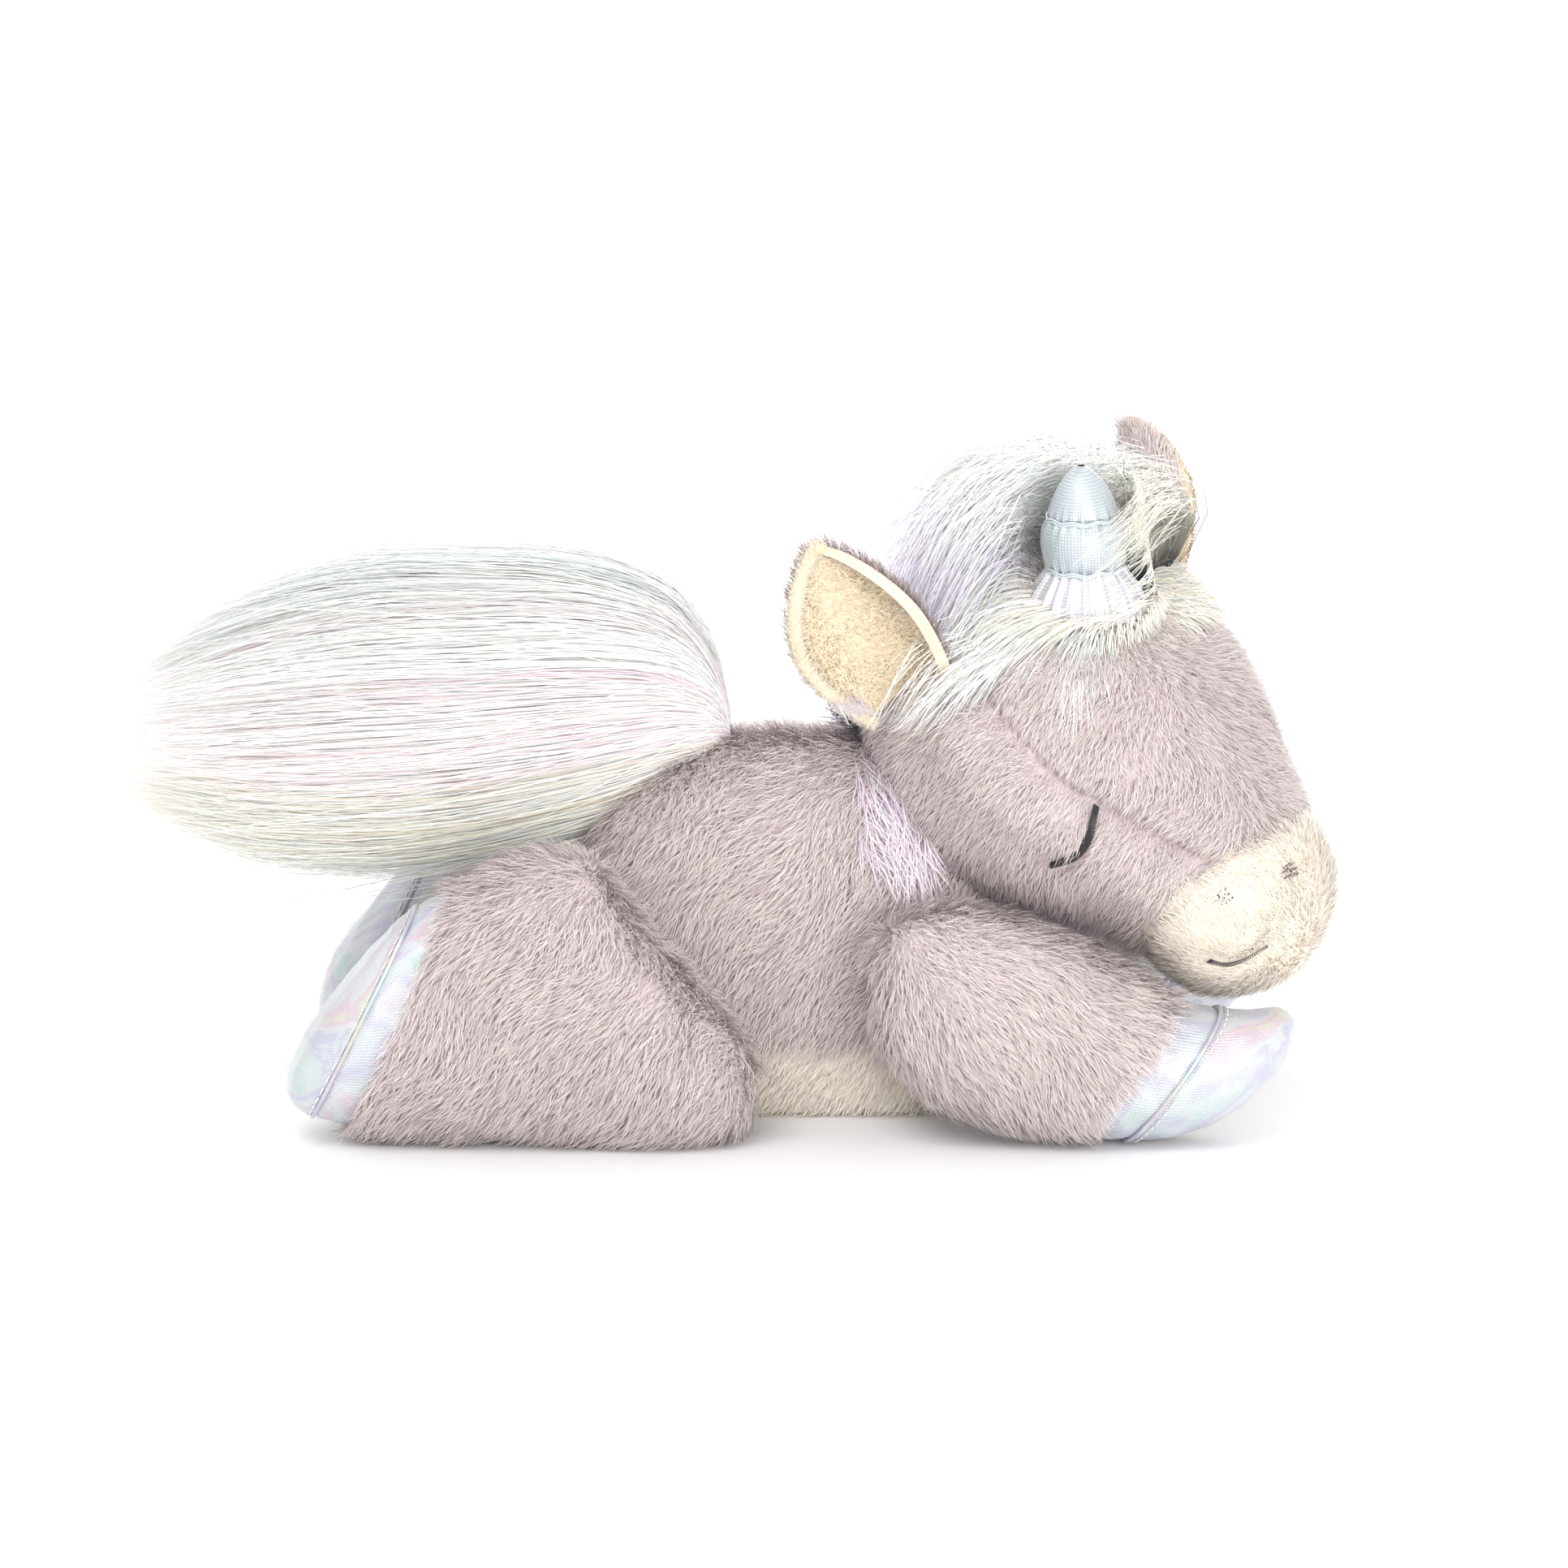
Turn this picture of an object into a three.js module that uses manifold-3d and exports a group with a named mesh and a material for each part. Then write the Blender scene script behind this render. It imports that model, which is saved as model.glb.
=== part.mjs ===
// Lying plush unicorn: sewn fur panels over stuffing, satin hooves and horn.
// Millimetres, +X towards the head, -Y the animal's right side, +Z up,
// origin on the belly's flat underside, midway between the legs.
import * as THREE from 'three';
import { mergeVertices } from 'three/addons/utils/BufferGeometryUtils.js';
import Module from 'manifold-3d'; // joins, cuts and places the bodies

const GAP = 0.3; // clearance between neighbouring pieces
const FUR_CLOTH = 2.0; // thickness of the pile cloth's backing
const HOOF_CLOTH = 1.6;
const SIDES = 20; // corners of one cross-section
const LEG_INNER = 33.6; // the legs' flat inner sides stand this far from the middle
const BELLY_TOP = 18; // height of the seams beside the belly gusset
const GUSSET_SEAM = 19; // height of the forehead gusset's seams above the skull's centre
const MUZZLE_SEAM = 53; // distance of the muzzle seam in front of the skull's centre
const NOD_STEPS = [0, 4, 8, 12, 16, 20]; // degrees the neck opening is cleared for
const HUGE = 400;

// Torso cross-sections: x, half width, top, bottom, squareness
const TORSO = [
  [-50, 10, 62, 24, 2.1],
  [-46, 24, 72, 10, 2.2],
  [-38, 29.5, 80, -4, 2.4],
  [-24, 32.3, 88, -10, 2.5],
  [-5, 33, 90.5, -10, 2.5],
  [15, 33, 90.5, -10, 2.5],
  [32, 32, 90, -9, 2.4],
  [45, 28, 84, -2, 2.3],
  [54, 19, 72, 15, 2.1],
  [58, 8, 60, 30, 2],
];

// Head cross-sections along the muzzle axis: forward, half width, top, bottom
const HEAD = [
  [-47, 9, 5, -13, 2],
  [-42, 24, 17, -27, 2],
  [-30, 38.5, 28, -37, 2],
  [-13, 46.5, 34.5, -42, 2],
  [5, 48, 36, -42, 2],
  [20, 44.5, 35, -38, 2],
  [34, 37, 31.5, -31, 2],
  [47, 29.5, 27.5, -25, 2],
  [59, 26, 25.5, -22.5, 2],
  [69, 22.5, 21.5, -19.5, 2],
  [76, 16, 14.5, -13, 2],
  [79.5, 7, 6, -5.5, 2],
];
const SKULL = new THREE.Vector3(70, -8, 95);
const NECK = new THREE.Vector3(46, -2, 76);
const FORWARD = new THREE.Vector3(0.649, -0.341, -0.68).normalize();
const LEFT = new THREE.Vector3(0.627, 0.747, 0.223);
LEFT.addScaledVector(FORWARD, -LEFT.dot(FORWARD)).normalize();
const UP = new THREE.Vector3().crossVectors(FORWARD, LEFT);
const HEAD_FRAME = new THREE.Matrix4().makeBasis(FORWARD, LEFT, UP).setPosition(SKULL);

// Leg cross-sections: x, height, tilt in degrees, half height, half width
const HIND_LEG = [
  [-9, 13, 0, 5, 5],
  [-15, 15, 0, 13.5, 13],
  [-27, 21, 0, 21, 17],
  [-38, 28, 2, 28, 18.5],
  [-50, 34, 6, 33.5, 19],
  [-64, 35, 10, 34.5, 19],
  [-78, 34, 17, 33, 18.5],
  [-91, 33, 24, 31, 18],
  [-100, 32, 26, 28.5, 17],
  [-107, 30, 28, 23.5, 14.5],
  [-112, 28, 30, 16, 10],
  [-114.5, 27, 30, 7, 4.5],
];
const FRONT_LEG = [
  [21, 38, 0, 7, 6],
  [27, 37, 4, 17, 13],
  [40, 33, 10, 22.5, 17],
  [56, 27.5, 18, 22.5, 17.5],
  [70, 21.5, 28, 21, 17.5],
  [80, 18.5, 36, 19.5, 17],
  [91, 16.5, 36, 19, 17],
  [101, 16.5, 34, 18, 16],
  [110, 18.5, 30, 15.5, 13.5],
  [116, 20, 28, 10.5, 9],
  [118.7, 20.5, 28, 5, 4],
];
const HIND_HOOF = { at: [-91.5, 33], tilt: 24, forward: -1, band: 11 };
const FRONT_HOOF = { at: [80.5, 18.5], tilt: 36, forward: 1, band: 11 };

// Tail hair cross-sections: x, middle height, half height, half width
const TAIL = [
  [-16.5, 93.5, 3, 6],
  [-24, 93.5, 9, 11],
  [-36, 94, 18, 15],
  [-50, 95, 27, 18],
  [-70, 97, 35, 20],
  [-92, 98, 37, 21],
  [-114, 97, 33, 18],
  [-134, 95, 23, 13],
  [-148, 93, 13, 8],
  [-158, 92, 5, 3],
];

// Horn outline: radius, height
const HORN = [
  [13.6, 0],
  [12.4, 4.8],
  [9.2, 8.6],
  [10.4, 13.3],
  [10.2, 18],
  [7.8, 21.4],
  [7.4, 24.7],
  [5, 29.5],
  [2, 32.9],
];
const HORN_CLOTH = 1.0;
const HORN_PINCHES = [[8.9, 9.2], [8.3, 21.5]]; // radius, height of the tied threads
const HORN_THREAD = 0.45;
const HORN_SEAT = new THREE.Vector3(-15, -4, 32.5);
const HORN_AXIS = new THREE.Vector3(-0.05, -0.134, 0.97).normalize();

// Satin stitches: position ahead, angle round the head from the left side
const EYE = [[28.5, 4], [31, 12], [30.5, 22], [26.5, 34]];
const MOUTH = [[69, 176], [72.5, 172], [74.5, 160], [75.5, 142]];
const NOSTRILS = { right: [61, 143], left: [66, 101] };
const NOSTRIL_SIZE = [1.6, 1.2, 0.9];
const EYE_STITCH = 0.8;
const MOUTH_STITCH = 0.6;
const STITCH_LIFT = 1.7;

// Ears in the head's frame: root, direction of the tip, direction of the opening
const EARS = {
  right: { seat: [-29, -44, 6], tip: [-0.66, -0.5, 0.56], open: [0.1, -0.6, 0.3] },
  left: { seat: [-21, 42, 4], tip: [-0.66, 0.5, 0.56], open: [0.1, 0.6, 0.3] },
};
const EAR_LENGTH = 43;
const EAR_WIDTH = 38;
const EAR_CLEARANCE = 2.6; // room above the skull for the ear's flop

const POUCH_SIZE = [42, 30, 16];
const POUCH_CORNER = [-20, -15, FUR_CLOTH + GAP];

const rad = THREE.MathUtils.degToRad;
const wasm = await Module();
wasm.setup();

const unicorn = new THREE.Group();
unicorn.name = 'plush_unicorn';

const material = (color, roughness, metalness = 0) =>
  new THREE.MeshStandardMaterial({ color, roughness, metalness });
const LILAC = material(0xcdc0c2, 0.95);
const CREAM = material(0xece4d6, 0.95);
const VELOUR = material(0xe4d4ba, 0.9);
const PASTEL_HAIR = material(0xe1e6de, 0.85);
const ROSE_HAIR = material(0xe6dde0, 0.85);
const SATIN = material(0xdce6e6, 0.3, 0.2);
const SILVER = material(0xc9d0d2, 0.35, 0.3);
const BLACK_THREAD = material(0x1c1c1e, 0.6);
const BROWN_THREAD = material(0x6a5348, 0.6);
const WHITE_THREAD = material(0xe8eaea, 0.6);
const FILLING = material(0xf4f4f0, 1.0);
const POUCH = material(0xded8cc, 0.9);

function add(name, geometry, look) {
  const mesh = new THREE.Mesh(geometry, look.clone());
  mesh.name = name;
  unicorn.add(mesh);
}

function solid(geometry) {
  const bare = geometry.clone();
  bare.deleteAttribute('normal');
  bare.deleteAttribute('uv');
  const merged = mergeVertices(bare, 1e-5);
  return new wasm.Manifold(new wasm.Mesh({
    numProp: 3,
    vertProperties: new Float32Array(merged.attributes.position.array),
    triVerts: new Uint32Array(merged.index.array),
  }));
}

function surface(body) {
  const mesh = body.getMesh();
  const geometry = new THREE.BufferGeometry();
  geometry.setAttribute('position', new THREE.BufferAttribute(mesh.vertProperties, 3));
  geometry.setIndex(new THREE.BufferAttribute(mesh.triVerts, 1));
  geometry.computeVertexNormals();
  return geometry;
}

// A closed skin through rings of points, with a cap at both ends: a fan to the
// middle, or for a bent sheet a strip between its two faces
function loft(rings, sheet = false) {
  const count = rings[0].length;
  const points = rings.flat().map((p) => p.toArray());
  const faces = [];
  for (let r = 0; r + 1 < rings.length; r += 1) {
    for (let i = 0; i < count; i += 1) {
      const a = r * count + i;
      const b = r * count + ((i + 1) % count);
      faces.push(a, b, b + count, a, b + count, a + count);
    }
  }
  for (const [ring, start, flip] of [[rings[0], 0, false], [rings.at(-1), points.length - count, true]]) {
    const middle = new THREE.Vector3();
    ring.forEach((p) => middle.addScaledVector(p, 1 / count));
    const centre = points.length;
    if (!sheet) points.push(middle.toArray());
    for (let i = 0; !sheet && i < count; i += 1) {
      const a = start + i;
      const b = start + ((i + 1) % count);
      faces.push(...(flip ? [centre, a, b] : [centre, b, a]));
    }
    for (let i = 0; sheet && i + 1 < count / 2; i += 1) {
      const [a, b, c, d] = [i, i + 1, count - 2 - i, count - 1 - i].map((k) => start + k);
      faces.push(...(flip ? [a, b, c, a, c, d] : [a, c, b, a, d, c]));
    }
  }
  const geometry = new THREE.BufferGeometry();
  geometry.setAttribute('position', new THREE.Float32BufferAttribute(points.flat(), 3));
  geometry.setIndex(faces);
  const body = solid(geometry);
  return body.volume() > 0 ? body : solid(flipped(geometry));
}

function flipped(geometry) {
  const turned = geometry.clone();
  const index = Array.from(turned.index.array);
  for (let i = 0; i < index.length; i += 3) {
    [index[i], index[i + 1]] = [index[i + 1], index[i]];
  }
  turned.setIndex(index);
  return turned;
}

// Superellipse point: angle 0 points sideways, a quarter turn points up
function oval(angle, across, high, low, power) {
  const c = Math.cos(angle);
  const s = Math.sin(angle);
  const side = Math.sign(c) * Math.abs(c) ** (2 / power) * across;
  const rise = Math.sign(s) * Math.abs(s) ** (2 / power);
  const middle = (high + low) / 2;
  return [side, middle + (rise * (high - low)) / 2];
}

function ringAngles() {
  return Array.from({ length: SIDES }, (_, i) => (2 * Math.PI * i) / SIDES);
}

// Moves the first and last cross-sections in or out with the skin
function ended(table, inset) {
  const sense = Math.sign(table.at(-1)[0] - table[0][0]);
  return table.map((row, i) => {
    const end = i === 0 ? 1 : i === table.length - 1 ? -1 : 0;
    return [row[0] + sense * end * inset, ...row.slice(1)];
  });
}

function torsoBody(inset) {
  const rings = ended(TORSO, inset).map(([x, across, high, low, power]) =>
    ringAngles().map((angle) => {
      const [side, up] = oval(angle, across - inset, high - inset, low + inset, power);
      return new THREE.Vector3(x, side, up);
    }));
  return loft(rings).intersect(block([-HUGE, -HUGE, inset], [HUGE, HUGE, HUGE]));
}

function headBody(inset) {
  const rings = ended(HEAD, inset).map(([ahead, across, high, low, power]) =>
    ringAngles().map((angle) => {
      const [side, up] = oval(angle, across - inset, high - inset, low + inset, power);
      return new THREE.Vector3(ahead, side, up);
    }));
  return loft(rings);
}

function legBody(table, side, inset) {
  const middle = side * (LEG_INNER + 15);
  const rings = ended(table, inset).map(([x, height, tilt, high, across]) => {
    const lean = rad(tilt);
    return ringAngles().map((angle) => {
      const [out, rise] = oval(angle, across - inset, high - inset, inset - high, 2.2);
      return new THREE.Vector3(x + rise * Math.sin(lean), middle + out, height + rise * Math.cos(lean));
    });
  });
  const low = [-HUGE, side < 0 ? -HUGE : LEG_INNER + inset, inset];
  const high = [HUGE, side < 0 ? -LEG_INNER - inset : HUGE, HUGE];
  return loft(rings).intersect(block(low, high));
}

function block(low, high) {
  const size = high.map((h, i) => h - low[i]);
  const middle = high.map((h, i) => (h + low[i]) / 2);
  return solid(new THREE.BoxGeometry(...size).translate(...middle));
}

function placed(body, matrix) {
  return body.transform(matrix.toArray());
}

// Everything beyond a tilted plane across a leg
function beyond(hoof, distance) {
  const half = block([0, -HUGE, -HUGE], [HUGE, HUGE, HUGE]);
  const turned = hoof.forward > 0 ? half : half.rotate([0, 0, 180]);
  const [x, z] = hoof.at;
  return turned.translate([hoof.forward * distance, 0, 0])
    .rotate([0, hoof.tilt, 0])
    .translate([x, 0, z]);
}

function addLeg(name, table, hoof, side) {
  const outer = legBody(table, side, 0);
  const furSkin = outer.subtract(legBody(table, side, FUR_CLOTH));
  const hoofSkin = outer.subtract(legBody(table, side, HOOF_CLOTH));
  const hoofStart = beyond(hoof, 0);
  const capStart = beyond(hoof, hoof.band);
  add(`${name}_skin`, surface(furSkin.subtract(beyond(hoof, -GAP))), LILAC);
  add(`${name}_hoof_band`, surface(hoofSkin.intersect(hoofStart).subtract(capStart)), SATIN);
  add(`${name}_hoof_cap`, surface(hoofSkin.intersect(beyond(hoof, hoof.band + GAP))), SATIN);
  add(`${name}_stuffing`, surface(legBody(table, side, FUR_CLOTH + GAP)), FILLING);
}

function addHead(name, body, look) {
  add(name, surface(placed(body, HEAD_FRAME)), look);
}

// ---- head ----
const headOuter = headBody(0);
const headSkin = headOuter.subtract(headBody(FUR_CLOTH));
const behindSeam = block([-HUGE, -HUGE, -HUGE], [MUZZLE_SEAM - GAP, HUGE, HUGE]);
const aboveSeam = block([-HUGE, -HUGE, GUSSET_SEAM], [MUZZLE_SEAM - GAP, HUGE, HUGE]);
const belowSeam = block([-HUGE, -HUGE, -HUGE], [HUGE, HUGE, GUSSET_SEAM - GAP]);
const cheeks = headSkin.intersect(behindSeam).intersect(belowSeam);
addHead('cheek_right', cheeks.intersect(block([-HUGE, -HUGE, -HUGE], [HUGE, -GAP / 2, HUGE])), LILAC);
addHead('cheek_left', cheeks.intersect(block([-HUGE, GAP / 2, -HUGE], [HUGE, HUGE, HUGE])), LILAC);
addHead('forehead_gusset', headSkin.intersect(aboveSeam), LILAC);
addHead('muzzle_patch', headSkin.intersect(block([MUZZLE_SEAM, -HUGE, -HUGE], [HUGE, HUGE, HUGE])), CREAM);
addHead('head_stuffing', headBody(FUR_CLOTH + GAP), FILLING);

// A point on the head's skin, lifted by a distance
function onHead(ahead, angle, lift) {
  let i = 0;
  while (HEAD[i + 2] && HEAD[i + 1][0] < ahead) i += 1;
  const t = (ahead - HEAD[i][0]) / (HEAD[i + 1][0] - HEAD[i][0]);
  const [, across, high, low] = HEAD[i].map((v, k) => THREE.MathUtils.lerp(v, HEAD[i + 1][k], t));
  const [side, up] = oval(angle, across + lift, high + lift, low - lift, 2);
  return new THREE.Vector3(ahead, side, up);
}

class Path extends THREE.Curve {
  constructor(points) {
    super();
    this.line = new THREE.CatmullRomCurve3(points);
  }

  getPoint(t, target = new THREE.Vector3()) {
    return this.line.getPoint(t, target);
  }
}

function cordSolid(points, radius, steps) {
  const shape = new THREE.Shape();
  shape.absarc(0, 0, radius, 0, 2 * Math.PI, false);
  const cord = new THREE.ExtrudeGeometry(shape, {
    steps,
    curveSegments: 4,
    bevelEnabled: false,
    extrudePath: new Path(points),
  });
  const body = solid(cord);
  return body.volume() > 0 ? body : solid(flipped(mergeVertices(cord)));
}

for (const [name, mirror] of [['right', true], ['left', false]]) {
  const turn = (degrees) => rad(mirror ? 180 - degrees : degrees);
  const eye = EYE.map(([ahead, degrees]) => onHead(ahead, turn(degrees), STITCH_LIFT));
  addHead(`eye_stitch_${name}`, cordSolid(eye, EYE_STITCH, 8), BLACK_THREAD);
}
for (const [name, [ahead, degrees]] of Object.entries(NOSTRILS)) {
  const seat = onHead(ahead, rad(degrees), STITCH_LIFT + 0.2);
  const knot = solid(new THREE.IcosahedronGeometry(1, 1).scale(...NOSTRIL_SIZE)
    .translate(seat.x, seat.y, seat.z));
  addHead(`nostril_stitch_${name}`, knot, BROWN_THREAD);
}
const mouth = MOUTH.map(([ahead, degrees]) => onHead(ahead, rad(degrees), STITCH_LIFT));
addHead('mouth_stitch', cordSolid(mouth, MOUTH_STITCH, 10), BLACK_THREAD);

// ---- horn ----
function turnedSolid(outline) {
  const profile = [new THREE.Vector2(0, outline[0][1])];
  outline.forEach(([r, h]) => profile.push(new THREE.Vector2(r, h)));
  profile.push(new THREE.Vector2(0, outline.at(-1)[1] + 0.6));
  const body = solid(new THREE.LatheGeometry(profile, SIDES).rotateX(Math.PI / 2));
  return body.volume() > 0 ? body : solid(flipped(mergeVertices(
    new THREE.LatheGeometry(profile, SIDES).rotateX(Math.PI / 2))));
}

const hornSeat = HORN_SEAT.clone().applyMatrix4(HEAD_FRAME);
const hornTurn = new THREE.Quaternion().setFromUnitVectors(new THREE.Vector3(0, 0, 1), HORN_AXIS);
const HORN_FRAME = new THREE.Matrix4().compose(hornSeat, hornTurn, new THREE.Vector3(1, 1, 1));
const inner = (inset) => HORN.map(([r, h], i) => [
  Math.max(r - inset, 0.4),
  i === 0 ? -3 : Math.min(h, HORN.at(-1)[1] - inset),
]);
const skullClear = placed(headBody(-0.4), HEAD_FRAME);
const hornOuter = turnedSolid(HORN.map(([r, h], i) => [r, i === 0 ? -4 : h]));
const threads = HORN_PINCHES.map(([r, h]) => {
  const ring = new THREE.TorusGeometry(r + HORN_THREAD, HORN_THREAD, 6, SIDES);
  return solid(ring).translate([0, 0, h]);
});
let hornCover = hornOuter.subtract(turnedSolid(inner(HORN_CLOTH)));
HORN_PINCHES.forEach(([r, h], i) => {
  const groove = new THREE.TorusGeometry(r + HORN_THREAD, HORN_THREAD + GAP, 6, SIDES);
  hornCover = hornCover.subtract(solid(groove).translate([0, 0, h]));
  add(`horn_thread_${i + 1}`, surface(placed(threads[i], HORN_FRAME)), WHITE_THREAD);
});
const coverThere = placed(hornCover, HORN_FRAME).subtract(skullClear);
const hornFill = placed(turnedSolid(inner(HORN_CLOTH + GAP)), HORN_FRAME).subtract(skullClear);
add('horn_cover', surface(coverThere), SILVER);
add('horn_stuffing', surface(hornFill), FILLING);

// ---- ears ----
// A cupped leaf between two distances from its middle sheet
function leaf(length, width, near, far) {
  const rows = 7;
  const columns = 8;
  const top = [];
  const bottom = [];
  for (let r = 0; r <= rows; r += 1) {
    const v = r / rows;
    const half = (width / 2) * (0.42 + 0.58 * Math.sin(Math.PI * Math.min(v * 0.62 + 0.16, 1)))
      * Math.sqrt(Math.max(1 - (Math.max(v - 0.5, 0) * 1.96) ** 2, 0.02));
    for (let c = 0; c <= columns; c += 1) {
      const u = (2 * c) / columns - 1;
      const bend = u * 1.15;
      const radius = half / 1.15;
      for (const [list, out] of [[top, far], [bottom, near]]) {
        list.push(new THREE.Vector3(
          v * length,
          (radius + out) * Math.sin(bend),
          radius - (radius + out) * Math.cos(bend),
        ));
      }
    }
  }
  const perRow = columns + 1;
  const rings = [];
  for (let r = 0; r <= rows; r += 1) {
    const row = top.slice(r * perRow, (r + 1) * perRow);
    const back = bottom.slice(r * perRow, (r + 1) * perRow).reverse();
    rings.push([...row, ...back]);
  }
  return loft(rings, true);
}

const earBodies = [];
for (const [name, { seat, tip, open }] of Object.entries(EARS)) {
  const along = new THREE.Vector3(...tip).normalize();
  const facing = new THREE.Vector3(...open);
  facing.addScaledVector(along, -facing.dot(along)).normalize();
  const across = new THREE.Vector3().crossVectors(facing, along);
  const frame = new THREE.Matrix4().makeBasis(along, across, facing)
    .setPosition(new THREE.Vector3(...seat));
  const whole = new THREE.Matrix4().multiplyMatrices(HEAD_FRAME, frame);
  const clear = placed(headBody(-EAR_CLEARANCE), HEAD_FRAME);
  const back = placed(leaf(EAR_LENGTH, EAR_WIDTH, GAP / 2, 2.2), whole).subtract(clear);
  const lining = placed(leaf(EAR_LENGTH, EAR_WIDTH, -1.6, -GAP / 2), whole).subtract(clear);
  add(`ear_outer_${name}`, surface(back), LILAC);
  add(`ear_lining_${name}`, surface(lining), VELOUR);
  earBodies.push(placed(leaf(EAR_LENGTH + 3, EAR_WIDTH + 8, -6, 6), whole));
}

// ---- forelock and mane: pile strips sewn round the horn and down the nape ----
const hairShell = headBody(-6).subtract(headBody(-0.4));
const hornHole = turnedSolid([[15, -12], [15, 40]]);
const forelockZone = block([-41, -27, 8], [6, 27, HUGE]);
let forelock = placed(hairShell.intersect(forelockZone), HEAD_FRAME)
  .subtract(placed(hornHole, HORN_FRAME));
const maneZone = block([-HUGE, -20, -30], [-18, 20, 7.6]);
const mane = placed(headBody(-4).subtract(headBody(-0.4)).intersect(maneZone), HEAD_FRAME);
earBodies.forEach((ear) => {
  forelock = forelock.subtract(ear);
});
add('forelock', surface(forelock), PASTEL_HAIR);
add('mane', surface(mane), ROSE_HAIR);

// ---- torso ----
// The neck opening clears the head through its whole nod
const headAll = placed(headBody(-0.9), HEAD_FRAME).add(placed(
  headBody(-4.6).intersect(maneZone), HEAD_FRAME));
let swept = headAll;
for (const degrees of NOD_STEPS) {
  const turn = new THREE.Matrix4().makeTranslation(NECK)
    .multiply(new THREE.Matrix4().makeRotationAxis(LEFT, rad(-degrees)))
    .multiply(new THREE.Matrix4().makeTranslation(NECK.clone().negate()));
  swept = swept.add(placed(headAll, turn));
}
const torsoSkin = torsoBody(0).subtract(torsoBody(FUR_CLOTH)).subtract(swept);
const upper = block([-HUGE, -HUGE, BELLY_TOP + GAP], [HUGE, HUGE, HUGE]);
const lower = block([-HUGE, -HUGE, -HUGE], [HUGE, HUGE, BELLY_TOP]);
const rightHalf = block([-HUGE, -HUGE, -HUGE], [HUGE, -GAP / 2, HUGE]);
const leftHalf = block([-HUGE, GAP / 2, -HUGE], [HUGE, HUGE, HUGE]);
add('torso_panel_right', surface(torsoSkin.intersect(upper).intersect(rightHalf)), LILAC);
add('torso_panel_left', surface(torsoSkin.intersect(upper).intersect(leftHalf)), LILAC);
add('belly_gusset', surface(torsoSkin.intersect(lower)), CREAM);
const pouchTop = POUCH_CORNER.map((v, i) => v + POUCH_SIZE[i]);
const notch = block(
  [POUCH_CORNER[0] - GAP, POUCH_CORNER[1] - GAP, -1],
  pouchTop.map((v) => v + GAP),
);
add('pellet_pouch', surface(block(POUCH_CORNER, pouchTop)), POUCH);
add('torso_stuffing', surface(torsoBody(FUR_CLOTH + GAP).subtract(swept).subtract(notch)), FILLING);

// ---- legs ----
for (const [name, side] of [['right', -1], ['left', 1]]) {
  addLeg(`hind_leg_${name}`, HIND_LEG, HIND_HOOF, side);
  addLeg(`front_leg_${name}`, FRONT_LEG, FRONT_HOOF, side);
}

// ---- tail ----
const tailRings = TAIL.map(([x, height, high, across]) => ringAngles().map((angle) => {
  const [out, rise] = oval(angle, across, high, -high, 2);
  return new THREE.Vector3(x, out, height + rise);
}));
add('tail_hair', surface(loft(tailRings).subtract(torsoBody(-1.2))), PASTEL_HAIR);

export default unicorn;
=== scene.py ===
import math

import bpy
import numpy as np
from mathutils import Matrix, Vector


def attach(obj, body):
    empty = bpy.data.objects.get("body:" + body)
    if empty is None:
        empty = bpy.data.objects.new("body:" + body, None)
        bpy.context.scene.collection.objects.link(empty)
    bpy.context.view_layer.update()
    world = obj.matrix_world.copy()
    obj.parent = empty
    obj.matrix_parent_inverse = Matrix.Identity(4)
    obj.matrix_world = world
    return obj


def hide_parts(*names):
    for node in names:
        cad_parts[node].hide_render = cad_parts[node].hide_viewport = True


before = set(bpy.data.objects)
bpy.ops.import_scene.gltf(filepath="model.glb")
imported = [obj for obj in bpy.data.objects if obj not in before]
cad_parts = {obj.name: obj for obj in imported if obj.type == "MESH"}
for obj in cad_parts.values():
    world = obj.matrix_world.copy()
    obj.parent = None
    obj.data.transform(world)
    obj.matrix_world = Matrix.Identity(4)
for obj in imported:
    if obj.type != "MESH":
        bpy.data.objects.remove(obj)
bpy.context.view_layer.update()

MM = 0.001
FLOOR_GAP = 0.3
rad = math.radians

# ---------------------------------------------------------------- sizes, mm
LEG_MIDDLE = 48.6
TORSO = [  # x, half width, top, bottom, squareness
    (-50, 10, 62, 24, 2.1), (-46, 24, 72, 10, 2.2), (-38, 29.5, 80, -2, 2.4),
    (-24, 32.3, 88, -7, 2.5), (-5, 33, 90.5, -8, 2.5), (15, 33, 90.5, -8, 2.5),
    (32, 32, 90, -7, 2.4), (45, 28, 84, -1, 2.3), (54, 19, 72, 15, 2.1), (58, 8, 60, 30, 2.0),
]
HEAD = [  # forward, half width, top, bottom
    (-47, 9, 5, -13), (-42, 24, 17, -27), (-30, 38.5, 28, -37), (-13, 46.5, 34.5, -42),
    (5, 48, 36, -42), (20, 44.5, 35, -38), (34, 37, 31.5, -31), (47, 29.5, 27.5, -25),
    (59, 26, 25.5, -22.5), (69, 22.5, 21.5, -19.5), (76, 16, 14.5, -13), (79.5, 7, 6, -5.5),
]
HIND_LEG = [  # x, height, tilt, half height, half width
    (-9, 13, 0, 5, 5), (-15, 15, 0, 13.5, 13), (-27, 21, 0, 21, 17), (-38, 28, 2, 28, 18.5),
    (-50, 34, 6, 33.5, 19), (-64, 35, 10, 34.5, 19), (-78, 34, 17, 33, 18.5), (-91, 33, 24, 31, 18),
    (-100, 32, 26, 28.5, 17), (-107, 30, 28, 23.5, 14.5), (-112, 28, 30, 16, 10),
    (-114.5, 27, 30, 7, 4.5),
]
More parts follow.
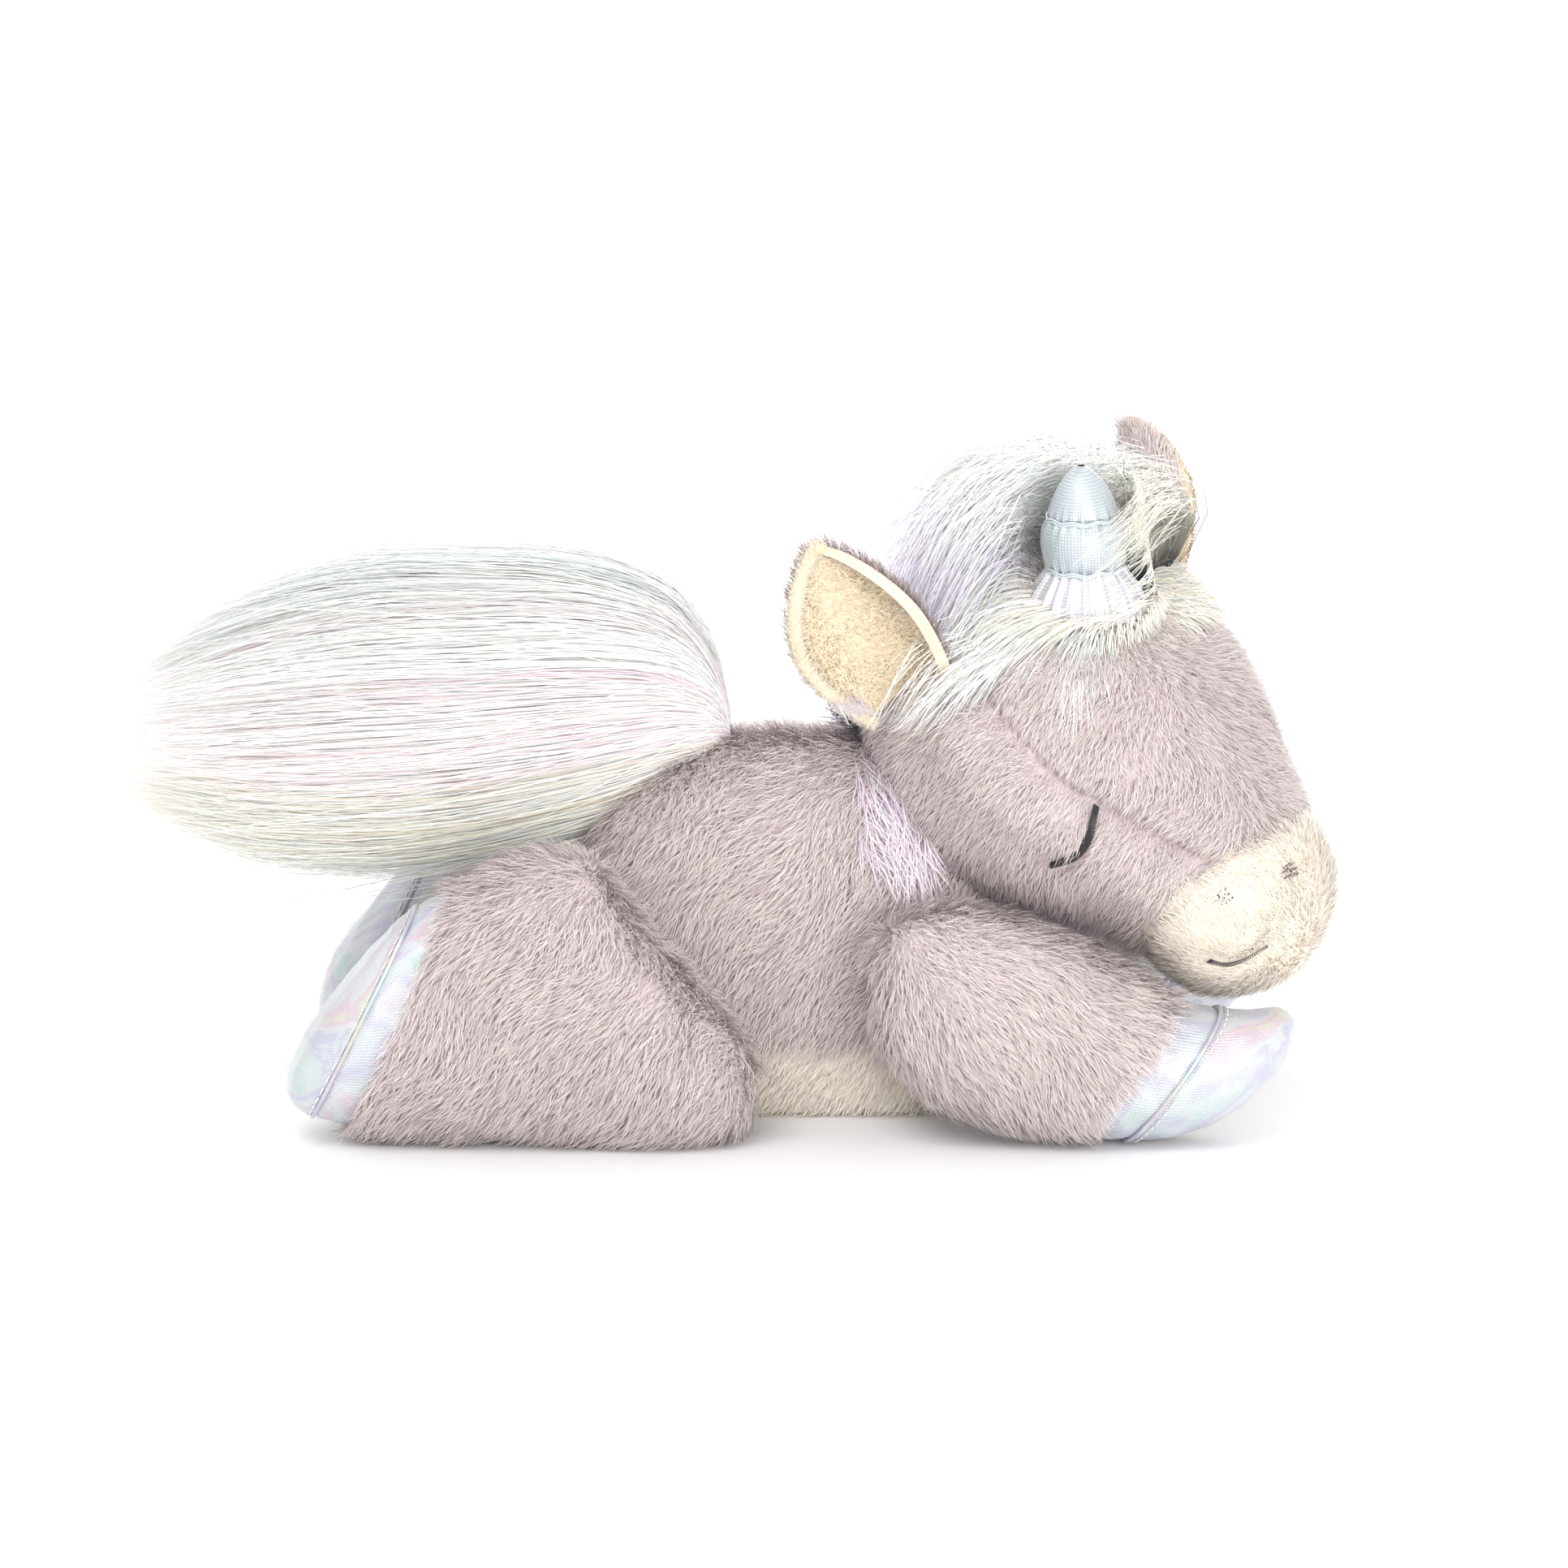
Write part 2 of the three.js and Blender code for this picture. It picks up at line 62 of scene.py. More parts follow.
FRONT_LEG = [
    (21, 38, 0, 7, 6), (27, 37, 4, 17, 13), (40, 33, 10, 22.5, 17), (56, 27.5, 18, 22.5, 17.5),
    (70, 21.5, 28, 21, 17.5), (80, 18.5, 36, 19.5, 17), (91, 16.5, 36, 19, 17),
    (101, 16.5, 34, 18, 16), (110, 18.5, 30, 15.5, 13.5), (116, 20, 28, 10.5, 9),
    (118.7, 20.5, 28, 5, 4),
]
HIND_SPLIT = (7.0, 8.15)  # where the hoof band and the hoof cap begin, in rows of the table
FRONT_SPLIT = (5.0, 6.1)
TAIL = [  # x, middle height, half height, half width
    (-14, 93, 4, 7), (-18, 98, 15, 13), (-27, 101, 25, 16), (-42, 101, 32, 19), (-60, 100, 36, 20),
    (-82, 98, 38, 21), (-105, 97, 38, 21), (-130, 95, 33, 18), (-150, 93, 25, 14), (-173, 91, 14, 9),
]
HORN = [  # radius, height
    (13.4, -2.5), (13.8, 0), (12.6, 3.8), (9.4, 8.2), (9.0, 9.2), (9.9, 11.4), (10.5, 14.8), (10.1, 18.6),
    (8.6, 21.1), (8.2, 21.7), (8.3, 22.8), (7.4, 25.7), (5.4, 29.5), (3.0, 32.4), (0.9, 33.9),
]
HORN_THREADS = ((9.2, 9.0), (8.5, 21.5))
SKULL = np.array([70.0, -8.0, 95.0])


def unit(v):
    v = np.asarray(v, float)
    return v / np.maximum(np.linalg.norm(v, axis=-1, keepdims=True), 1e-9)


FORWARD = unit((0.649, -0.341, -0.68))
LEFT = np.array([0.627, 0.747, 0.223])
LEFT = unit(LEFT - FORWARD * LEFT.dot(FORWARD))
UP = np.cross(FORWARD, LEFT)
HEAD_AXES = np.stack([FORWARD, LEFT, UP])
HORN_ROOT = np.array([-15, -4, 33.0])
HORN_SEAT = SKULL + HORN_ROOT @ HEAD_AXES
HORN_AXIS = unit((-0.05, -0.134, 0.97))


def to_world(local):
    return SKULL + np.asarray(local, float) @ HEAD_AXES


# ---------------------------------------------------------------- mesh tools
def rows_of(table, at):
    """Table values at fractional rows, on a smooth curve through them."""
    t = np.asarray(table, float)
    at = np.clip(np.asarray(at, float), 0, len(t) - 1)
    i = np.clip(at.astype(int), 0, len(t) - 2)
    f = (at - i)[:, None]
    p0, p1 = t[np.maximum(i - 1, 0)], t[i]
    p2, p3 = t[i + 1], t[np.minimum(i + 2, len(t) - 1)]
    return 0.5 * (2 * p1 + (p2 - p0) * f + (2 * p0 - 5 * p1 + 4 * p2 - p3) * f**2
                  + (3 * p1 - p0 - 3 * p2 + p3) * f**3)


def waves(p, pitch, seed, count=7):
    """Smooth random bumps from -1 to 1, a few of each size round the pitch."""
    rng = np.random.default_rng(seed)
    total = np.zeros(len(p))
    for _ in range(count):
        k = unit(rng.normal(size=3)) * 2 * math.pi / (pitch * rng.uniform(0.7, 1.6))
        total += np.sin(p @ k + rng.uniform(0, 6.28))
    return total / math.sqrt(count) / 1.4


def grid_faces(rows, cols, wrap=True):
    faces = []
    last = cols if wrap else cols - 1
    for r in range(rows - 1):
        for c in range(last):
            a, b = r * cols + c, r * cols + (c + 1) % cols
            faces.append((a, b, b + cols, a + cols))
    return faces


def make(name, verts, faces, body, mat, smooth=True, uv=None, uv_name="UVMap"):
    me = bpy.data.meshes.new(name)
    me.from_pydata((np.asarray(verts) * MM).tolist(), [], faces)
    me.validate()
    me.polygons.foreach_set("use_smooth", [smooth] * len(me.polygons))
    if uv is not None:
        layer = me.uv_layers.new(name=uv_name)
        at = np.zeros(len(me.loops), int)
        me.loops.foreach_get("vertex_index", at)
        layer.data.foreach_set("uv", np.asarray(uv, np.float32)[at].ravel())
    for m in mat if isinstance(mat, (list, tuple)) else [mat]:
        me.materials.append(m)
    ob = bpy.data.objects.new(name, me)
    bpy.context.scene.collection.objects.link(ob)
    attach(ob, body)
    return ob


def turned_out(verts, faces):
    """The same faces, all facing away from the middle."""
    v = np.asarray(verts)
    volume = 0.0
    for f in faces:
        a = v[f[0]]
        for i in range(1, len(f) - 1):
            volume += np.dot(a, np.cross(v[f[i]], v[f[i + 1]]))
    return faces if volume > 0 else [tuple(reversed(f)) for f in faces]


class Skin:
    """A piece of surface as triangles, to grow pile on."""

    def __init__(self, verts, faces):
        self.v = np.asarray(verts, float)
        self.faces = faces
        tris = []
        for f in faces:
            for i in range(1, len(f) - 1):
                tris.append((f[0], f[i], f[i + 1]))
        self.t = np.array(tris)
        a, b, c = (self.v[self.t[:, k]] for k in range(3))
        cross = np.cross(b - a, c - a)
        self.area = np.linalg.norm(cross, axis=1) / 2
        n = np.zeros_like(self.v)
        for k in range(3):
            np.add.at(n, self.t[:, k], cross)
        self.n = unit(n)

    def sample(self, density, rng, keep=None):
        count = int(self.area.sum() * density)
        pick = rng.choice(len(self.t), count, p=self.area / self.area.sum())
        r1, r2 = np.sqrt(rng.random(count)), rng.random(count)
        w = np.stack([1 - r1, r1 * (1 - r2), r1 * r2], 1)
        tri = self.t[pick]
        p = (self.v[tri] * w[:, :, None]).sum(1)
        n = unit((self.n[tri] * w[:, :, None]).sum(1))
        if keep is not None:
            ok = keep(p, n)
            p, n = p[ok], n[ok]
        return p, n


def ribbons(name, body, paths, side, width, shade, mat, taper=0.75, soft=None):
    """Hair as thin tapered strips. paths: strands x points x 3, side: strands x 3, the strips' flat
    direction, shade: strands, the place on the material's palette."""
    count, levels, _ = paths.shape
    along = np.linspace(0, 1, levels)
    if soft is not None:  # the strips' front faces the way that their shading does
        lie = paths[:, -1] - paths[:, levels // 3] if levels > 5 else paths[:, 2] - paths[:, 0]
        facing = (np.cross(side, lie) * soft).sum(1, keepdims=True)
        side = np.where(facing < 0, -side, side)
    half = width[:, None] / 2 * (1 - taper * along**1.6)[None, :]
    left = paths[:, :-1] - side[:, None] * half[:, :-1, None]
    right = paths[:, :-1] + side[:, None] * half[:, :-1, None]
    body_points = np.stack([left, right], 2).reshape(count, -1, 3)
    verts = np.concatenate([body_points, paths[:, -1:]], 1)
    verts[:, :, 2] = np.maximum(verts[:, :, 2], FLOOR_GAP)
    per = verts.shape[1]
    quads = []
    for i in range(levels - 2):
        quads.append((2 * i, 2 * i + 1, 2 * i + 3, 2 * i + 2))
    tri = (2 * (levels - 2), 2 * (levels - 2) + 1, 2 * (levels - 1))
    base = np.arange(count)[:, None] * per
    loops_one = [i for q in quads for i in q] + list(tri)
    loops = (base + np.array(loops_one)[None]).ravel()
    sizes = np.tile([4] * len(quads) + [3], count)
    starts = np.concatenate([[0], np.cumsum(sizes)[:-1]])
    me = bpy.data.meshes.new(name)
    me.vertices.add(count * per)
    me.vertices.foreach_set("co", (verts * MM).astype(np.float32).ravel())
    me.loops.add(len(loops))
    me.loops.foreach_set("vertex_index", loops.astype(np.int32))
    me.polygons.add(len(sizes))
    me.polygons.foreach_set("loop_start", starts.astype(np.int32))
    me.update(calc_edges=True)
    me.polygons.foreach_set("use_smooth", [True] * len(sizes))
    v_along = np.concatenate([np.repeat(along[:-1], 2), [1.0]])
    u_off = np.concatenate([np.tile([-0.004, 0.004], levels - 1), [0.0]])
    uv = np.stack([
        np.clip(shade[:, None] + u_off[None], 0.005, 0.995),
        np.clip(np.broadcast_to(v_along, (count, per)), 0.005, 0.995),
    ], 2).reshape(-1, 2)
    layer = me.uv_layers.new(name="OFBake")
    layer.data.foreach_set("uv", uv[loops].astype(np.float32).ravel())
    if soft is not None:
        me.normals_split_custom_set_from_vertices(np.repeat(soft, per, axis=0).tolist())
    me.materials.append(mat)
    ob = bpy.data.objects.new(name, me)
    bpy.context.scene.collection.objects.link(ob)
    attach(ob, body)
    return ob


def turn_about(v, n, angle):
    c, s = np.cos(angle)[:, None], np.sin(angle)[:, None]
    return v * c + np.cross(n, v) * s


def pile(name, body, skin, mat, seed, comb, density=1.7, length=7.0, width=0.34, keep=None,
         lifts=(62, 34, 12), shade=None, sink=0.5, trim=None):
    """Short combed fur on a skin."""
    rng = np.random.default_rng(seed)
    p, n = skin.sample(density, rng, keep)
    count = len(p)
    d = comb(p)
    t = unit(d - n * (d * n).sum(1, keepdims=True))
    swirl = 0.4 * waves(p, 30, seed + 1) + 0.14 * waves(p, 9, seed + 2) + rng.normal(0, 0.22, count)
    t = turn_about(t, n, swirl)
    size = length * rng.uniform(0.62, 1.12, count) * (1 + 0.12 * waves(p, 14, seed + 3))
    if trim is not None:
        size = size * trim(p)
    tilt = rng.normal(0, 0.13, count) + 0.16 * waves(p, 11, seed + 4)
    path = [p - n * sink]
    for lift in lifts:
        a = np.clip(rad(lift) + tilt, -0.1, 1.5)
        step = t * np.cos(a)[:, None] + n * np.sin(a)[:, None]
        path.append(path[-1] + step * (size / len(lifts))[:, None])
        t = turn_about(t, n, rng.normal(0, 0.1, count))
    flat = np.cross(n, t)
    roll = rng.normal(0, 0.45, count)
    side = unit(flat * np.cos(roll)[:, None] + n * np.sin(roll)[:, None])
    normal = unit(n * 0.9 + np.cross(t, side) * 0.25 + rng.normal(0, 0.1, (count, 3)) + t * 0.1)
    tone = rng.beta(3, 3, count) if shade is None else shade(p, rng)
    return ribbons(name, body, np.stack(path, 1), side, width * rng.uniform(0.7, 1.25, count),
                   np.clip(tone, 0, 1), mat, soft=normal)


# ---------------------------------------------------------------- materials
def linear(rgb):
    c = np.asarray(rgb, float) / 255
    return tuple(np.where(c < 0.04045, c / 12.92, ((c + 0.055) / 1.055) ** 2.4)) + (1.0,)


class Look:
    """A Principled material built from nodes."""

    def __init__(self, name, roughness=0.8, **constants):
        self.mat = bpy.data.materials.new(name)
        self.mat.use_nodes = True
        self.tree = self.mat.node_tree
        self.shader = self.tree.nodes["Principled BSDF"]
        self.shader.inputs["Roughness"].default_value = roughness
        for key, value in constants.items():
            self.shader.inputs[key.replace("_", " ")].default_value = value

    def node(self, kind, links=None, **values):
        n = self.tree.nodes.new(kind)
        for key, value in values.items():
            if hasattr(n, key):
                setattr(n, key, value)
            else:
                n.inputs[key.replace("_", " ")].default_value = value
        for key, source in (links or {}).items():
            self.tree.links.new(source, n.inputs[key])
        return n

    def ramp(self, source, stops):
        n = self.tree.nodes.new("ShaderNodeValToRGB")
        self.tree.links.new(source, n.inputs[0])
        band = n.color_ramp
        while len(band.elements) < len(stops):
            band.elements.new(0.5)
        for e, (at, colour) in zip(band.elements, stops):
            e.position = at
            e.color = colour
        return n.outputs[0]

    def mix(self, a, b, kind="MULTIPLY", amount=1.0):
        n = self.tree.nodes.new("ShaderNodeMix")
        n.data_type = "RGBA"
        n.blend_type = kind
        n.inputs[0].default_value = amount
        self.tree.links.new(a, n.inputs[6])
        self.tree.links.new(b, n.inputs[7])
        return n.outputs[2]

    def bump(self, height, strength=0.5, distance=0.0003):
        n = self.node("ShaderNodeBump", {"Height": height})
        n.inputs["Strength"].default_value = strength
        n.inputs["Distance"].default_value = distance
        self.tree.links.new(n.outputs[0], self.shader.inputs["Normal"])

    def colour(self, socket):
        self.tree.links.new(socket, self.shader.inputs["Base Color"])
        return self.mat


def hair_look(name, stops, root=0.72, roughness=0.62, sheen=0.3):
    look = Look(name, roughness, Sheen_Weight=sheen, Sheen_Roughness=0.45, Specular_IOR_Level=0.3)
    uv = look.node("ShaderNodeUVMap", uv_map="OFBake")
    parts = look.node("ShaderNodeSeparateXYZ", {"Vector": uv.outputs[0]})
    palette = look.ramp(parts.outputs[0], [(at, linear(c)) for at, c in stops])
    # painted shade: each strand's colour darkens towards its root, where the pile shades itself; root is
    # the brightness at the root
    root_shade_tint = (root, root * 0.97, root * 0.985, 1)
    depth = look.ramp(parts.outputs[1], [(0.0, root_shade_tint), (0.55, (0.97, 0.97, 0.97, 1)), (1.0, (1, 1, 1, 1))])
    return look.colour(look.mix(palette, depth))


def cloth_look(name, rgb, spread=0.07):
    look = Look(name, 0.92, Sheen_Weight=0.25, Sheen_Roughness=0.5)
    at = look.node("ShaderNodeTexCoord")
    blotch = look.node("ShaderNodeTexNoise", {"Vector": at.outputs["Object"]}, Scale=160.0, Detail=4.0)
    fine = look.node("ShaderNodeTexNoise", {"Vector": at.outputs["Object"]}, Scale=2600.0, Detail=2.0)
    base = np.array(linear(rgb))
    low, high = base * (1 - spread), np.minimum(base * (1 + spread), 1)
    look.bump(fine.outputs[0], 0.6, 0.0004)
    return look.colour(look.ramp(blotch.outputs[0], [(0.3, (*low[:3], 1)), (0.7, (*high[:3], 1))]))


def weave_look(name, stops, pitch=0.85, metallic=0.25, roughness=0.3, blotch=0.085, coat=0.4,
               depth=0.55):
    """Shiny woven cloth: crossing threads and soft patches of changing colour."""
    look = Look(name, roughness, Metallic=metallic, Coat_Weight=coat, Coat_Roughness=0.18,
                Sheen_Weight=0.15)
    uv = look.node("ShaderNodeUVMap", uv_map="UVMap")
    waves_at = 0.314 / pitch
    ridge = []
    for direction in ("X", "Y"):
        w = look.node("ShaderNodeTexWave", {"Vector": uv.outputs[0]}, Scale=waves_at)
        w.wave_type, w.bands_direction = "BANDS", direction
        ridge.append(w.outputs[1])
    both = look.node("ShaderNodeMath", operation="MULTIPLY")
    look.tree.links.new(ridge[0], both.inputs[0])
    look.tree.links.new(ridge[1], both.inputs[1])
    noise = look.node("ShaderNodeTexNoise", {"Vector": uv.outputs[0]}, Scale=blotch, Detail=3.0,
                      Distortion=0.8)
    patches = look.ramp(noise.outputs[0], [(at, linear(c)) for at, c in stops])
    threads = look.ramp(both.outputs[0], [(0.0, (0.72, 0.72, 0.75, 1)), (0.5, (1, 1, 1, 1))])
    look.bump(both.outputs[0], depth, 0.0004)
    return look.colour(look.mix(patches, threads))


def thread_look(name, rgb, roughness=0.5):
    look = Look(name, roughness, Sheen_Weight=0.2)
    at = look.node("ShaderNodeTexCoord")
    wave = look.node("ShaderNodeTexWave", {"Vector": at.outputs["Object"]}, Scale=700.0, Distortion=2.0)
    base = np.array(linear(rgb))
    look.bump(wave.outputs[1], 0.5, 0.0001)
    return look.colour(look.ramp(wave.outputs[1], [
        (0.0, (*(base * 0.7)[:3], 1)), (1.0, (*np.minimum(base * 1.25, 1)[:3], 1))]))


LILAC_HAIR = hair_look("lilac_pile", [
    # the darkest stop is the painted shadow colour that the pile in the forehead's seam valleys reaches
    (0.0, (158, 138, 139)), (0.12, (206, 188, 188)), (0.35, (219, 204, 203)),
    (0.65, (231, 219, 217)), (1.0, (243, 236, 233))],
    root=0.86)
CREAM_HAIR = hair_look("cream_pile", [
    (0.0, (244, 229, 212)), (0.5, (250, 243, 231)), (1.0, (253, 250, 243))], root=0.9)
VELOUR_HAIR = hair_look("velour_pile", [
    (0.0, (240, 224, 198)), (0.5, (246, 234, 212)), (1.0, (250, 242, 226))], root=0.93)
PASTELS = [  # places on the long hair's palette
    (0.0, (252, 253, 250)), (0.2, (246, 249, 245)), (0.32, (228, 242, 235)), (0.44, (220, 221, 230)),
    (0.56, (228, 219, 240)), (0.68, (242, 222, 236)), (0.8, (248, 232, 233)), (0.9, (252, 245, 228)),
    (1.0, (250, 246, 214))]
LONG_HAIR = hair_look("pastel_long_pile", PASTELS, root=0.93, roughness=0.5, sheen=0.4)
LILAC_CLOTH = cloth_look("lilac_backing", (214, 199, 202))
CREAM_CLOTH = cloth_look("cream_backing", (246, 235, 219))
VELOUR_CLOTH = cloth_look("velour_backing", (236, 218, 190), 0.04)
HAIR_CLOTH = cloth_look("pastel_backing", (240, 241, 236))
FILLING = cloth_look("filling", (244, 244, 240), 0.03)
SATIN = weave_look("iridescent_satin", [
    (0.28, (206, 234, 226)), (0.4, (230, 238, 238)), (0.47, (218, 218, 236)), (0.54, (236, 241, 241)),
    (0.61, (238, 216, 230)), (0.67, (236, 238, 218)), (0.76, (218, 238, 238))],
    metallic=0.35, blotch=0.04)
LAME = weave_look("silver_lame", [
    (0.3, (196, 210, 210)), (0.45, (214, 222, 224)), (0.6, (206, 213, 222)), (0.75, (220, 232, 228))],
    pitch=0.75, metallic=0.35, roughness=0.36, depth=0.4)
PEARL = weave_look("pearl_lame", [
    (0.3, (230, 240, 240)), (0.45, (246, 246, 242)), (0.6, (236, 232, 244)), (0.75, (250, 246, 226))],
    pitch=0.75, metallic=0.25, roughness=0.3, depth=0.4)
BLACK = thread_look("black_thread", (24, 24, 28), 0.45)
BROWN = thread_look("brown_thread", (104, 86, 86))
WHITE = thread_look("white_thread", (236, 240, 240))
SILVER_THREAD = thread_look("silver_thread", (206, 216, 218), 0.35)


# ---------------------------------------------------------------- shapes
def oval_ring(across, high, low, power, count):
    """Rings of a superellipse, one per row: sideways and upward distances."""
    a = np.linspace(0, 2 * math.pi, count, endpoint=False)
    c, s = np.cos(a), np.sin(a)
    exp = (2 / np.asarray(power, float))[:, None]
    side = np.sign(c) * np.abs(c) ** exp * np.asarray(across)[:, None]
    rise = np.sign(s) * np.abs(s) ** exp
    middle = (np.asarray(high) + np.asarray(low)) / 2
    return side, middle[:, None] + rise * ((np.asarray(high) - np.asarray(low)) / 2)[:, None]


def closed_faces(rows, cols, base=0):
    faces = [tuple(i + base for i in f) for f in grid_faces(rows, cols)]
    first, last = base + rows * cols, base + rows * cols + 1
    end = base + (rows - 1) * cols
    for c in range(cols):
        d = (c + 1) % cols
        faces.append((first, base + d, base + c))
        faces.append((last, end + c, end + d))
    return faces


def with_poles(points, sink):
    """Ring points as a list, with a rounded-off pole at each end."""
    ends = []
    for ring, inner in ((points[0], points[2]), (points[-1], points[-3])):
        middle = ring.mean(0)
        ends.append(middle + unit(middle - inner.mean(0)) * sink)
    return np.concatenate([points.reshape(-1, 3), np.array(ends)])


def split(verts, faces, label):
    """Cuts a surface into pieces by a label for each face's middle."""
    v = np.asarray(verts)
    middles = np.array([v[list(f)].mean(0) for f in faces])
    which = label(middles)
    parts = {}
    for k in sorted(set(which)):
        chosen = [f for f, w in zip(faces, which) if w == k]
        used = sorted({i for f in chosen for i in f})
        new = {i: j for j, i in enumerate(used)}
        parts[k] = (v[used], [tuple(new[i] for i in f) for f in chosen])
    return parts


def torso_surface():
    t = rows_of(TORSO, np.linspace(0, len(TORSO) - 1, 58))
    side, up = oval_ring(t[:, 1], t[:, 2], t[:, 3], t[:, 4], 84)
    x = np.broadcast_to(t[:, :1], side.shape)
    verts = with_poles(np.stack([x, side, up], 2), 2.0)
    faces = turned_out(verts, closed_faces(58, 84))
    n = Skin(verts, faces).n
    verts = verts + n * (0.9 * waves(verts, 42, 3) + 0.35 * waves(verts, 17, 4))[:, None]
    verts[:, 2] = np.maximum(verts[:, 2], 0.25)
    return verts, faces


def leg_points(table, rows, side, count=64, swell=0.0):
    t = rows_of(table, rows)
    lean = np.radians(t[:, 2])[:, None]
    power = np.full(len(t), 2.2)
    out, rise = oval_ring(t[:, 4] + swell, t[:, 3] + swell, -t[:, 3] - swell, power, count)
    x = t[:, :1] + rise * np.sin(lean)
    z = np.maximum(t[:, 1:2] + rise * np.cos(lean), 0.3)
    return np.stack([x, side * LEG_MIDDLE + out * -side, z], 2)


def head_row(ahead):
    return np.interp(ahead, [r[0] for r in HEAD], range(len(HEAD)))


def on_head(ahead, degrees, lift):
    """A point over the head's skin: distance ahead, angle round from the left side, height."""
    t = rows_of(HEAD, [head_row(ahead)])[0]
    a = rad(degrees)
    middle, half = (t[2] + t[3]) / 2, (t[2] - t[3]) / 2
    p = np.array([ahead, math.cos(a) * t[1], middle + math.sin(a) * half])
    n = unit((0, math.cos(a) / t[1], math.sin(a) / half))
    return to_world(p + n * lift)


def head_normal(p):
    """Outward direction of the skull near a point, in head directions."""
    q = np.array(p, float)
    return unit(q / np.array([56.0**2, 47.0**2, 38.0**2]))


EYE_ARC = ((28.5, 4), (31, 12), (30.5, 22), (26.5, 34))
MOUTH_ARC = ((69, 176), (72.5, 172), (74.5, 160), (75.5, 142))
NOSTRILS = {"right": (61, 143), "left": (66, 101)}
GUSSET_SEAM = 19
MUZZLE_SEAM = 53
BELLY_TOP = 18


def arc_over_head(arc, mirror, lift, count):
    marks = rows_of(arc, np.linspace(0, len(arc) - 1, count))
    return np.array([on_head(f, 180 - a if mirror else a, lift) for f, a in marks])


def muzzle_edge(k):
    """Distance ahead of the muzzle's seam at a height."""
    return MUZZLE_SEAM + 4 * np.clip((-k - 2) / 18, 0, 1.2) + 1.5 * np.clip((k - 14) / 10, 0, 1)


def head_surface():
    rows, cols = 84, 110
    t = rows_of(HEAD, np.linspace(0, len(HEAD) - 1, rows))
    side, up = oval_ring(t[:, 1], t[:, 2], t[:, 3], np.full(rows, 2.0), cols)
    local = np.stack([np.broadcast_to(t[:, :1], side.shape), side, up], 2)
    local = with_poles(local, 2.2)
    faces = turned_out(local, closed_faces(rows, cols))
    n = Skin(local, faces).n
    f, l, k = local.T
    off = 0.7 * waves(local, 38, 8) + 0.25 * waves(local, 15, 9)
    behind = f < muzzle_edge(k) + 1
    off -= np.where(behind, 3.0 * np.exp(-((k - GUSSET_SEAM) / 2.2) ** 2), 0)
    off += np.where(behind, 2.4 * np.exp(-((k - GUSSET_SEAM + 9) / 6) ** 2), 0)
    off -= 1.4 * np.exp(-((f - muzzle_edge(k)) / 2.0) ** 2)
    off += 0.8 * np.exp(-((f - muzzle_edge(k) - 10) / 7) ** 2)
    for mirror in (True, False):
        eye = (arc_over_head(EYE_ARC, mirror, 0, 9) - SKULL) @ HEAD_AXES.T
        near = np.min(np.linalg.norm(local[:, None] - eye[None], axis=2), axis=1)
        off -= 1.1 * np.exp(-(near / 6) ** 2)
    mouth = (arc_over_head(MOUTH_ARC, False, 0, 11) - SKULL) @ HEAD_AXES.T
    near = np.min(np.linalg.norm(local[:, None] - mouth[None], axis=2), axis=1)
    off -= 1.2 * np.exp(-(near / 2.4) ** 2)
    off = np.maximum(off, -1.9)
    local = local + n * off[:, None]
    return local, faces


def head_label(m):
    f, l, k = m.T
    out = np.where(l < 0, "cheek_right", "cheek_left")
    out = np.where(k > GUSSET_SEAM, "forehead_gusset", out)
    return np.where(f > muzzle_edge(k), "muzzle_patch", out)


def tube(points, radius, sides=8):
    """A round cord along points, closed at both ends."""
    p = np.asarray(points, float)
    tangent = unit(np.gradient(p, axis=0))
    ref = np.array([0.31, 0.2, 0.93])
    u = unit(np.cross(tangent, ref))
    v = np.cross(tangent, u)
    a = np.linspace(0, 2 * math.pi, sides, endpoint=False)
    r = np.broadcast_to(radius, (len(p),))
    ring = u[:, None] * np.cos(a)[None, :, None] + v[:, None] * np.sin(a)[None, :, None]
    rings = p[:, None] + ring * r[:, None, None]
    verts = with_poles(rings, float(np.min(r)) * 0.4)
    return verts, turned_out(verts, closed_faces(len(p), sides))


def joined(parts):
    verts, faces, base = [], [], 0
    for v, f in parts:
        verts.append(np.asarray(v))
        faces += [tuple(i + base for i in face) for face in f]
        base += len(v)
    return np.concatenate(verts), faces


# ---------------------------------------------------------------- torso
verts, faces = torso_surface()


def torso_label(m):
    out = np.where(m[:, 1] < 0, "torso_panel_right", "torso_panel_left")
    return np.where((m[:, 2] < BELLY_TOP) & (np.abs(m[:, 0]) < 50), "belly_gusset", out)


torso_parts = split(verts, faces, torso_label)
for seed, (node, (v, f)) in enumerate(torso_parts.items()):
    cream = node == "belly_gusset"
    cloth = make(f"{node}_cloth", v, f, "torso", CREAM_CLOTH if cream else LILAC_CLOTH)
    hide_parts(node)
    skin = Skin(v, f)

    def torso_comb(p):
        back = np.clip((p[:, 2:3] - 30) / 60, 0, 1)
        out = np.sign(p[:, 1:2]) * 0.55 * back
        return np.concatenate([np.full_like(back, -0.5), out, -1.0 + 0.55 * back], 1)

    pile(f"{node}_pile", "torso", skin, CREAM_HAIR if cream else LILAC_HAIR, 20 + seed,
         torso_comb, density=2.5 if not cream else 1.6, length=7.6 if not cream else 5.5, width=0.27,
         keep=lambda p, n: (p[:, 2] > 0.9) & (p[:, 0] < 56))


def neck_tone(p, rng):
    tone = rng.uniform(0.6, 0.72, len(p))
    return np.where(rng.random(len(p)) < 0.25, rng.uniform(0.05, 0.25, len(p)), tone)


